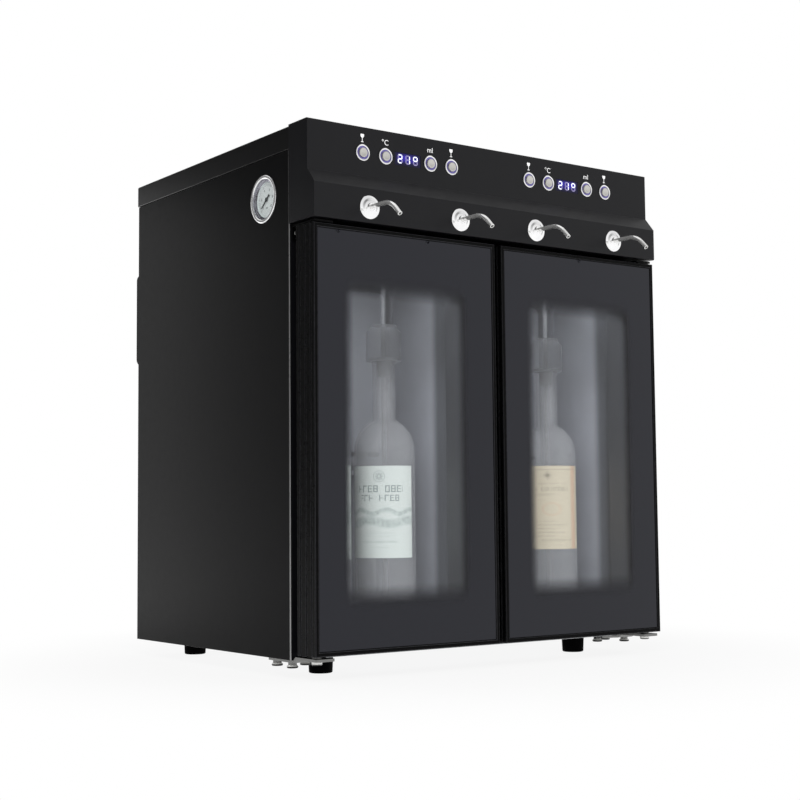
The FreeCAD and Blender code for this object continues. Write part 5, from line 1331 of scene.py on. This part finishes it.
@dataclass
class Icons:
    """White print over the buttons, given a faint painted glow: glasses, a degree sign and a unit."""

    face: float
    buttons: list[Vector]
    rise: float = 16.2 * MM
    glass_size: Pair = (5.0 * MM, 11.0 * MM)
    glass_rise: float = 2.0 * MM

    def glass(self, name: str, at: Vector) -> Piece:
        """A wine glass in outline form: a cut bowl, a stem and a foot."""
        width, height = self.glass_size
        start_fresh()
        middle = at + Vector((0, 0, height * 0.23))
        bpy.ops.mesh.primitive_circle_add(vertices=40, radius=width / 2, fill_type="NGON",
                                          location=middle, rotation=Facing.FRONT.value)
        pieces = [settle(bpy.context.object)]
        edit(pieces[0])
        bpy.ops.transform.resize(value=(1, 1, height * 0.56 / width), center_override=middle)
        bpy.ops.mesh.bisect(plane_co=at + Vector((0, 0, height * 0.36)), plane_no=(0, 0, 1),
                            clear_outer=True, use_fill=False)
        bpy.ops.mesh.select_all(action="SELECT")
        draw_out((0, PRINT_T, 0))
        start_fresh()
        for part, fall, wide, high in (("stem", 0.25, 0.4 * MM, height * 0.23),
                                       ("base", 0.48, width * 0.34, 0.4 * MM)):
            half = Vector((wide, PRINT_T / 2, high))
            middle = at + Vector((0, PRINT_T / 2, -height * fall))
            pieces.append(slab(part, middle - half, middle + half, 0.01 * MM, 1))
        return united(name, pieces)

    def build(self) -> None:
        """Print the eight marks."""
        for number, button in enumerate(self.buttons, start=1):
            role = (number - 1) % 4
            at = Vector((button.x, self.face - 0.03 * MM, button.z + self.rise))
            if role in (0, 3):
                at += Vector((0, -0.02 * MM, self.glass_rise))
                mark = self.glass(f"icon_glass_{number}", at)
            elif role == 1:
                mark = lettering(f"icon_degree_{number}", "°C", 9.2 * MM, at, Facing.FRONT)
            else:
                mark = lettering(f"icon_unit_{number}", "ml", 9.0 * MM, at, Facing.FRONT)
            place(mark, GLOWING_WHITE_PRINT, "satin_steel")


@dataclass
class Tap:
    """One pouring tap: a bent hollow spout through a domed rosette with a collar."""

    number: int
    seat: Vector
    tube_r: float = 2.7 * MM
    bore_r: float = 1.8 * MM
    stub: float = 15 * MM
    straight: float = 29 * MM
    bend_r: float = 32 * MM
    bend: float = math.radians(45)
    tail: float = 11 * MM
    rim: float = 0.3 * MM
    mouth: float = 14 * MM
    rosette_r: float = 13.7 * MM

    def spout(self) -> Piece:
        """The tube, drawn out of a circle, bent by a spin and bored at its mouth."""
        start_fresh()
        back = self.seat + Vector((0, self.stub, 0))
        bpy.ops.mesh.primitive_circle_add(vertices=40, radius=self.tube_r, fill_type="NGON",
                                          location=back, rotation=Facing.FRONT.value)
        piece = settle(bpy.context.object)
        piece.name = f"tap_spout_{self.number}"
        edit(piece)
        draw_out((0, -self.stub - self.straight, 0))
        centre = self.seat - Vector((0, self.straight, self.bend_r))
        bpy.ops.mesh.spin(steps=14, angle=self.bend, center=centre, axis=(-1, 0, 0))
        down = Vector((0, -math.cos(self.bend), -math.sin(self.bend)))
        draw_out(down * self.tail)
        bpy.ops.mesh.inset(thickness=self.rim, depth=self.rim / 2)
        bpy.ops.mesh.inset(thickness=self.tube_r - self.bore_r - self.rim)
        draw_out(-down * self.mouth)
        weld()
        return smooth(piece)

    def rosette(self) -> Piece:
        """The flared disc and the collar round the spout."""
        r, bore = self.rosette_r / MM, self.tube_r / MM + 0.05
        rings = [(bore, 0), (r, 0), (r, 0.7), (r - 0.25, 1.0), (r - 1.0, 1.15), (r - 3.4, 1.2),
                 (r - 3.9, 1.4), (r - 5.5, 2.55), (r - 6.1, 2.8), (r - 8.4, 2.85), (4.7, 3.0),
                 (4.5, 3.3), (4.5, 4.6), (4.1, 5.0), (bore, 5.0)]
        return turned(f"tap_rosette_{self.number}", rings, self.seat, Facing.FRONT, 72, True)


@dataclass
class TapHead:
    """The sloping head over the doors with its taps, buttons, displays and print."""

    edge: float = 0.35 * MM
    button_front: float = 2.2 * MM
    rosette_depth: float = 5.0 * MM
    display_size: Pair = (38 * MM, 15 * MM)
    display_set: float = 0.3 * MM

    def taps(self) -> None:
        """The first tap, and three copies of it."""
        seats = [Vector((s.middle.x, s.low.y + self.rosette_depth, s.middle.z))
                 for s in solids_of("tap_rosettes")]
        tap = Tap(1, seats[0])
        for make, stem, finish in ((tap.spout, "tap_spout", DRAWN),
                                   (tap.rosette, "tap_rosette", POLISHED)):
            for piece in repeated(make(), stem, seats):
                place(piece, finish, "tap_steel", f"{stem}s")

    def build(self) -> None:
        """Make the whole head, with the control board behind its upper face."""
        carry("fascia", HEAD_PAINT, "fascia_paint", self.edge, edges=HEAD_EDGE_HIGHLIGHT)
        faces = []
        for number in range(1, 9):
            span = span_of(f"button_{number}")
            faces.append(Vector((span.middle.x, span.low.y + self.button_front, span.middle.z)))
            Button(number, faces[-1]).build()
        Icons(faces[0].y, faces).build()
        for side, span in zip(Side, solids_of("displays")):
            half = Vector((self.display_size[0] / 2, 0, self.display_size[1] / 2))
            low = Vector((span.middle.x, faces[0].y + self.display_set, faces[0].z)) - half
            high = Vector((span.middle.x, span.high.y, faces[0].z)) + half
            Display(side, Span(low, high)).build()
        self.taps()
        carry("control_board", BOARD, "board_green")


# ------------------------------------------------------------------ gauge
@dataclass
class PressureGauge:
    """The pressure gauge in the left side: chrome case, printed dial, needle and lens.

    Its sizes are in millimetres, and its heights are over the side panel.
    """

    proud: float = 1.2
    bezel_r: float = 28.5
    body_r: float = 25.0
    throat_r: float = 24.0
    dial_r: float = 20.5
    dial_set: float = 5.0
    print_lift: float = 0.03
    sweep: float = 270.0
    ticks: int = 41
    stroke: Pair = (1.6, 0.14)          # length and half width
    long_stroke: Pair = (3.0, 0.28)
    numbers: tuple[str, ...] = ("0", "2", "4", "6", "8", "10")
    number_r: float = 12.4
    number_size: float = 4.6
    unit_r: float = 9.6
    unit_size: float = 3.6
    unit_turn: float = 315

    def __post_init__(self) -> None:
        """Find the gauge's axis where it meets the side panel."""
        span = span_of("gauge_case")
        self.at = Vector((span.low.x + self.proud * MM, span.middle.y, span.middle.z))

    def case(self) -> Piece:
        """Rolled bezel and the body behind, open to the throat."""
        p, r, t, body = self.proud, self.bezel_r, self.throat_r, self.body_r
        rings = [(body - 3, -24), (body, -21), (body, 0), (r, 0), (r - 0.15, p - 0.7),
                 (r - 0.7, p - 0.25), (r - 1.5, p - 0.05), (r - 2.2, p), (t + 1.5, p - 0.1),
                 (t + 0.8, p - 0.4), (t + 0.2, p - 1.0), (t + 0.1, p - 1.7),
                 (t + 0.1, -self.dial_set - 0.9)]
        return turned("gauge_case_chrome", rings, self.at, Facing.LEFT, 96)

    def recess(self) -> list[tuple[Piece, Finish]]:
        """The steps between bezel and dial, in a darker steel that paints the recess's shade, and the
        bright ring round the dial.
        """
        t, d, floor = self.throat_r, self.dial_r, -self.dial_set
        steps = [(t + 0.05, floor), (t, self.proud - 1.4), (t - 0.1, -1.9), (t - 0.9, -2.2),
                 (t - 1.1, -3.1), (t - 1.9, -3.4), (t - 2.1, -4.1), (d + 0.9, -4.3),
                 (d + 0.8, floor)]
        ring = [(d + 0.8, floor - 0.5), (d + 0.8, -4.3), (d + 0.5, -4.0), (d + 0.1, -4.2),
                (d, floor - 0.5)]
        return [(turned(name, rings, self.at, Facing.LEFT, 96, True), finish)
                for name, rings, finish in (("gauge_case_steps", steps, GAUGE_RECESS_SHADE),
                                            ("gauge_case_ring", ring, RING_WHITE))]

    def around(self, radius: float, degrees: float) -> Vector:
        """A place on the dial, by its radius and its angle from the scale's start."""
        angle = math.radians(225 - degrees)
        return self.at + Vector((self.dial_set - self.print_lift, -radius * math.cos(angle),
                                 radius * math.sin(angle))) * MM

    def scale(self) -> Piece:
        """The strokes of the scale, long at each number."""
        strokes = []
        axis = self.around(0, 0)
        for i in range(self.ticks):
            length, wide = self.stroke if i % 8 else self.long_stroke
            half = Vector((0.02, wide, length / 2)) * MM
            centre = axis + Vector((0, 0, self.dial_r - 2.0 - length / 2)) * MM
            stroke = slab(f"stroke_{i}", centre - half, centre + half, 0.01 * MM, 1)
            edit(stroke)
            turn = math.radians(self.sweep * (i / (self.ticks - 1) - 0.5))
            bpy.ops.transform.rotate(value=turn, orient_axis="X", center_override=axis)
            start_fresh()
            strokes.append(stroke)
        return united("gauge_scale", strokes)

    def print_marks(self) -> Piece:
        """The numbers of the scale and its unit."""
        marks = []
        for i, number in enumerate(self.numbers):
            at = self.around(self.number_r, self.sweep * i / (len(self.numbers) - 1))
            marks.append(lettering(f"number_{i}", number, self.number_size * MM, at, Facing.LEFT))
        at = self.around(self.unit_r, self.unit_turn)
        marks.append(lettering("unit", "bar", self.unit_size * MM, at, Facing.LEFT))
        return united("gauge_numbers", marks)

    def build(self) -> None:
        """Make the gauge."""
        for piece, finish in [(self.case(), CHROME)] + self.recess():
            place(piece, finish, "gauge_chrome", "gauge_case")
        r, floor = self.dial_r, -self.dial_set
        rings = [(r - 0.1, floor - 0.9), (r - 0.1, floor - 0.05), (r - 0.3, floor)]
        plate = turned("gauge_dial_plate", rings, self.at, Facing.LEFT, 72)
        place(plate, DIAL_WHITE, "dial_face", "gauge_dial")
        place(self.scale(), BLACK_PRINT, "needle_black")
        place(self.print_marks(), BLACK_PRINT, "needle_black")
        carry("gauge_needle", BLACK_PRINT, "needle_black", 0.08 * MM, body="gauge_needle")
        t, front = self.throat_r, self.proud - 2.0
        rings = [(t - 0.1, front - 1.2), (t - 0.1, front - 0.5), (t - 0.5, front - 0.3),
                 (14, front - 0.06), (4, front)]
        lens = turned("gauge_lens_clear", rings, self.at, Facing.LEFT, 72)
        place(lens, CLEAR, "clear_glass", "gauge_lens")


# ------------------------------------------------------------------ doors
@dataclass
class Door:
    """One door: grooved rails, printed glass, the panel with its window and the gasket."""

    side: Side
    print_opening: Pair = (184 * MM, 385 * MM)
    print_shift: Vector = Vector((-1 * MM, 0, -3 * MM))
    rail_edge: float = 0.35 * MM
    liner_edge: float = 0.3 * MM

    def window(self) -> Span:
        """Where the print of the front glass begins to fade."""
        rails = span_of(f"door_frame_{self.side.word}")
        half = Vector((self.print_opening[0] / 2, 0, self.print_opening[1] / 2))
        middle = rails.middle + self.print_shift
        return Span(middle - half, middle + half)

    def build(self) -> None:
        """Make the door and let it swing."""
        word = self.side.word
        body, glazing = f"door_{word}", f"door_glazing_{word}"
        carry(f"door_frame_{word}", DOOR_BLACK, "door_frame_black", self.rail_edge, body=body,
              edges=RAIL_EDGE_HIGHLIGHT)
        panes = sorted(solids_of(glazing), key=lambda s: s.middle.y)
        printed = PrintedGlass(f"printed_glass_{word}", self.window())
        for pane, name, edge, finish in ((panes[0], "door_glass", 0.5 * MM, printed),
                                         (panes[1], "door_pane", 0.4 * MM, PANE)):
            piece = slab(f"{name}_{word}", pane.low, pane.high, edge, 3)
            place(piece, finish, "black_glass", glazing, body=body)
        carry(f"door_liner_{word}", LINER_DARK, "liner_plastic", self.liner_edge, body=body)
        carry(f"door_gasket_{word}", RUBBER, "black_rubber", angle=40, body=body)


@dataclass
class Hinges:
    """Stepped plates and brackets, pins, and the flanged bolts under the cabinet."""

    edge: float = 0.25 * MM
    screw_edge: float = 0.12 * MM
    floor_level: float = 30 * MM

    def bolt(self, span: Span, depth: float, number: int) -> Piece:
        """A flanged bolt whose head hangs under the plate by a depth: hexagon, slope and rim."""
        at = Vector((span.middle.x, span.middle.y, span.low.z + depth))
        r, d = span.size.x / 2 / MM, depth / MM
        rings = [(2.4, -2), (2.4, 0), (2.4, d * 0.35), (r - 1.7, d * 0.4), (r - 0.3, d * 0.62),
                 (r, d * 0.7), (r, d * 0.86), (r - 0.5, d * 0.97), (r - 1.2, d)]
        flange = turned("flange", rings, at, Facing.DOWN, 40)
        head = turned("head", [(r - 1.6, 0), (r - 1.6, d * 0.5)], at, Facing.DOWN, 6)
        return united(f"hinge_bolt_{number}", [flange, smooth(head, 20)])

    def build(self) -> None:
        """Dress what carries the doors."""
        for part in apart(refined("hinge_plates", self.edge)):
            low = bounds_of(part).low.z < self.floor_level
            place(part, HINGE_PLATE if low else DOOR_BLACK, "hinge_paint", "hinge_plates")
        low = span_of("hinge_pins").low.z
        # pins and bolts take light painted in bands: a bright flange highlight over a rim painted
        # dark as shade
        light_bands = BoltMetal("hinge_pin_plating", low + 5.5 * MM, low + 1.3 * MM)
        carry("hinge_pins", light_bands, "satin_steel")
        spans = [s for s in solids_of("screws") if s.low.z < self.floor_level]
        foot = min(s.low.z for s in spans)
        depth = min(s.low.z for s in solids_of("hinge_plates")) - foot
        light_bands = BoltMetal("hinge_bolt_plating", foot + depth * 0.58, foot + depth * 0.33)
        for number, span in enumerate(spans, start=1):
            place(self.bolt(span, depth, number), light_bands, "zinc_screws", "screws")
        for part in apart(refined("screws", self.screw_edge)):
            if bounds_of(part).low.z < self.floor_level:
                bpy.data.objects.remove(part)
            else:
                place(part, ZINC_BOLTS, "zinc_screws", "screws")


# ------------------------------------------------------------------ compartments
@dataclass
class Bottle:
    """A labelled glass bottle with its stopper. Its sizes are in millimetres."""

    number: int
    base: Vector
    motif: Motif
    turn: float
    label_foot: float
    label_size: Pair
    radius: float = 37.5
    height: float = 305
    body: float = 190
    shoulder_r: float = 42
    neck_r: float = 14
    lip_r: float = 15.2
    bore_r: float = 9.3
    wall: float = 3

    def shoulder(self, radius: float, inner: float) -> Rings:
        """The shoulder's rings, along an arc up to a neck radius."""
        centre = self.radius - self.shoulder_r
        end = math.acos((inner - centre) / radius)
        angles = [end * i / 12 for i in range(13)]
        return [(centre + radius * math.cos(a), self.body + radius * math.sin(a)) for a in angles]

    def glass(self) -> Piece:
        """The bottle's wall, from the base outside up to the lip and down inside."""
        r, t, top = self.radius, self.wall, self.height
        rings = [(1, 8), (r - 20, 5), (r - 12, 0.4), (r - 8, 0), (r - 3, 0.2), (r - 0.8, 1.4),
                 (r, 3.6)]
        rings += self.shoulder(self.shoulder_r, self.neck_r)
        rings += [(self.neck_r, top - 8.6), (self.lip_r, top - 7.6), (self.lip_r, top - 1),
                  (self.lip_r - 1, top), (self.bore_r + 1, top), (self.bore_r, top - 1)]
        rings += self.shoulder(self.shoulder_r - t, self.bore_r)[::-1]
        rings += [(r - t, 7), (r - 12, 4), (r - 20, 8), (1, 11)]
        return turned(f"bottle_{self.number}", rings, self.base, sides=72)

    def label(self) -> Piece:
        """A band of the bottle's side, a paper's thickness out, cut to the label."""
        start_fresh()
        width, height = (size * MM for size in self.label_size)
        radius = (self.radius + 0.2) * MM
        middle = self.base + Vector((0, 0, self.label_foot * MM + height / 2))
        bpy.ops.mesh.primitive_cylinder_add(vertices=144, radius=radius, depth=height,
                                            end_fill_type="NOTHING", location=middle)
        piece = settle(bpy.context.object)
        piece.name = f"bottle_label_{self.number}"
        edit(piece)

        def beside(face: object) -> bool:
            """Whether a face lies beside the label."""
            offset = face.calc_center_median() - middle
            return abs(math.atan2(offset.x, -offset.y) - self.turn) * radius > width / 2

        choose(piece, "faces", beside)
        bpy.ops.mesh.delete(type="FACE")
        start_fresh()
        modified(piece, "SOLIDIFY", thickness=0.12 * MM, offset=-1.0)
        return smooth(piece, 60)

    def paper(self) -> LabelPaper:
        """The label's print, laid out round this bottle."""
        rosette = self.motif is Motif.ROSETTE
        paper = linear(180, 186, 181) if rosette else linear(175, 167, 147)
        ink = linear(92, 104, 102) if rosette else linear(112, 104, 92)
        # the warm accent of the diamond labels also paints their shade band
        accent = linear(140, 150, 146) if rosette else linear(176, 148, 124)
        foot, width, height = (size * MM for size in (self.label_foot, *self.label_size))
        return LabelPaper(f"label_paper_{self.number}", paper, ink, accent, self.motif,
                          (self.base.x, self.base.y), self.turn, self.radius * MM,
                          self.base.z + foot, width, height)

    def stopper(self, span: Span) -> Piece:
        """The stopper: plug, wide cap with a finger groove and the collar of the riser."""
        low, top = ((z - self.base.z) / MM for z in (span.low.z, span.high.z))
        r, lip = span.size.x / 2 / MM, self.height
        rings = [(3.2, low), (7.8, low + 1), (9.1, lip - 3), (9.1, lip), (16.2, lip),
                 (16.2, lip - 4), (r - 0.6, lip - 4), (r, lip - 3.2), (r, lip + 9),
                 (r - 0.9, lip + 10), (r - 0.9, lip + 14), (r, lip + 15), (r, top - 10),
                 (r - 0.8, top - 8), (r - 5, top - 4.6), (r - 5.2, top - 0.8), (r - 6, top),
                 (3.2, top)]
        return turned(f"stopper_{self.number}", rings, self.base, sides=56, bored=True)

    def build(self, cap: Span) -> None:
        """Make the bottle, its label and its stopper."""
        place(self.glass(), BOTTLE_GLASS, "bottle_glass", "bottles")
        place(self.label(), self.paper(), "bottle_glass")
        place(self.stopper(cap), STOPPER_BODY, "stopper_plastic", "stoppers")


@dataclass
class Compartment:
    """One cooled compartment: liner, lit bar and circulation fan."""

    side: Side
    # how deep the painted shade reaches behind each liner's front
    lips: Pair = (53 * MM, 42 * MM)
    liner_edge: float = 0.2 * MM
    rotor_edge: float = 0.1 * MM
    lamp_tilt: float = math.radians(12)
    lamp_power: float = 0.19
    fill_power: float = 0.43
    fill_size: Pair = (210 * MM, 340 * MM)
    fill_behind: float = 22 * MM
    fill_under: float = 80 * MM

    def light(self) -> None:
        """The light bar's housing with its lens, and the light that it gives."""
        span = solids_of("light_bars")[0 if self.side is Side.LEFT else 1]
        word = self.side.word
        width, depth, height = span.size
        low = span.low + Vector((0, 0, height * 0.35))
        housing = slab(f"light_housing_{word}", low, span.high, 0.8 * MM, 3)
        place(housing, LINER, "light_lens", "light_bars")
        low = span.low + Vector((2 * MM, depth * 0.3, 0))
        high = span.high - Vector((2 * MM, 1 * MM, height * 0.5))
        lens = slab(f"light_lens_{word}", low, high, 1.2 * MM, 3)
        place(lens, LAMP_GLOW, "light_lens", "light_bars")
        at = Vector((span.middle.x, span.middle.y, span.low.z - 1 * MM))
        aim = at + Vector((0, math.sin(self.lamp_tilt), -math.cos(self.lamp_tilt)))
        soft_lamp(f"bar_lamp_{word}", at, aim, (width - 4 * MM, depth * 0.6), self.lamp_power,
                  through=False)
        room = span_of(f"liner_{word}")
        at = Vector((room.middle.x, room.low.y + self.fill_behind, room.middle.z - self.fill_under))
        soft_lamp(f"fill_lamp_{word}", at, at + Vector((0, 1, 0)), self.fill_size, self.fill_power,
                  through=False)

    def build(self) -> None:
        """Make what belongs to one side."""
        liner, rotor = f"liner_{self.side.word}", f"circulation_rotor_{self.side.word}"
        # the liner's front lip is painted dark as shade
        edge = span_of(liner).low.y + self.lips[self.side is Side.RIGHT]
        shaded_walls = LippedPlastic(f"lipped_{liner}", LINER.colour, LINER.roughness, edge=edge)
        carry(liner, shaded_walls, "liner_plastic", self.liner_edge)
        carry(rotor, FAN_BLACK, "fan_plastic", self.rotor_edge, body=rotor)
        self.light()


@dataclass
class Compartments:
    """Both compartments with all that stands in them.

    A label is given by its turn round the bottle in radians, and in millimetres by its foot over
    the bottle's base, its width and its height.
    """

    labels: tuple[tuple[float, float, float, float], ...] = (
        (-0.3, 58, 92, 112), (-0.8, 58, 92, 112), (0.1, 63, 104, 110), (-0.6, 63, 104, 110))

    def build(self) -> None:
        """Make the shared pieces, the sides and the bottles."""
        carry("bottle_trays", LINER, "liner_plastic", 0.5 * MM)
        carry("duct_covers", LINER, "liner_plastic", 0.25 * MM)
        carry("wine_tubes", TUBE, "clear_tube")
        for side in Side:
            Compartment(side).build()
        bottles, caps = solids_of("bottles"), solids_of("stoppers")
        for number, (span, cap, label) in enumerate(zip(bottles, caps, self.labels), start=1):
            base = Vector((span.middle.x, span.middle.y, span.low.z))
            motif = Motif.ROSETTE if number <= 2 else Motif.DIAMOND
            Bottle(number, base, motif, label[0], label[1], label[2:]).build(cap)


# ------------------------------------------------------------------ inside and rear
@dataclass
class Machinery:
    """What works behind the compartments and over them, dressed as it stands."""

    def build(self) -> None:
        """Give each hidden piece its finish."""
        inside = {"insulation": FOAM, "gas_tubes": GAS_TUBE, "wine_valves": VALVE_GREY,
                  "gas_manifold": BRASS, "power_supply": ZINC, "cooling_stacks": ALUMINIUM,
                  "heat_sinks": ALUMINIUM}
        for node, finish in inside.items():
            finish.dress(frame["nodes"][node])
            LOG.info("%s: dressed as it stands", node)


@dataclass
class Rear:
    """Fans, gas inlet and power inlet at the back."""

    edge: float = 0.2 * MM
    rotor_edge: float = 0.15 * MM

    def build(self) -> None:
        """Make the rear pieces, the rotors on their own bodies."""
        for node, finish, slot in (("gas_inlet", NICKEL, "nickel_fitting"),
                                   ("power_inlet", DARK_PLASTIC, "black_plastic"),
                                   ("rear_fan_frames", FAN_BLACK, "fan_plastic")):
            carry(node, finish, slot, self.edge)
        for side in Side:
            node = f"rear_rotor_{side.word}"
            carry(node, FAN_BLACK, "fan_plastic", self.rotor_edge, body=node)


def main() -> None:
    """Build the studio and every sub-assembly in order."""
    logging.basicConfig(level=logging.INFO, format="%(message)s")
    Studio().build()
    CabinetShell().build()
    TapHead().build()
    PressureGauge().build()
    for side in Side:
        Door(side).build()
    Hinges().build()
    Compartments().build()
    Machinery().build()
    Rear().build()
    start_fresh()


if __name__ == "__main__":
    main()
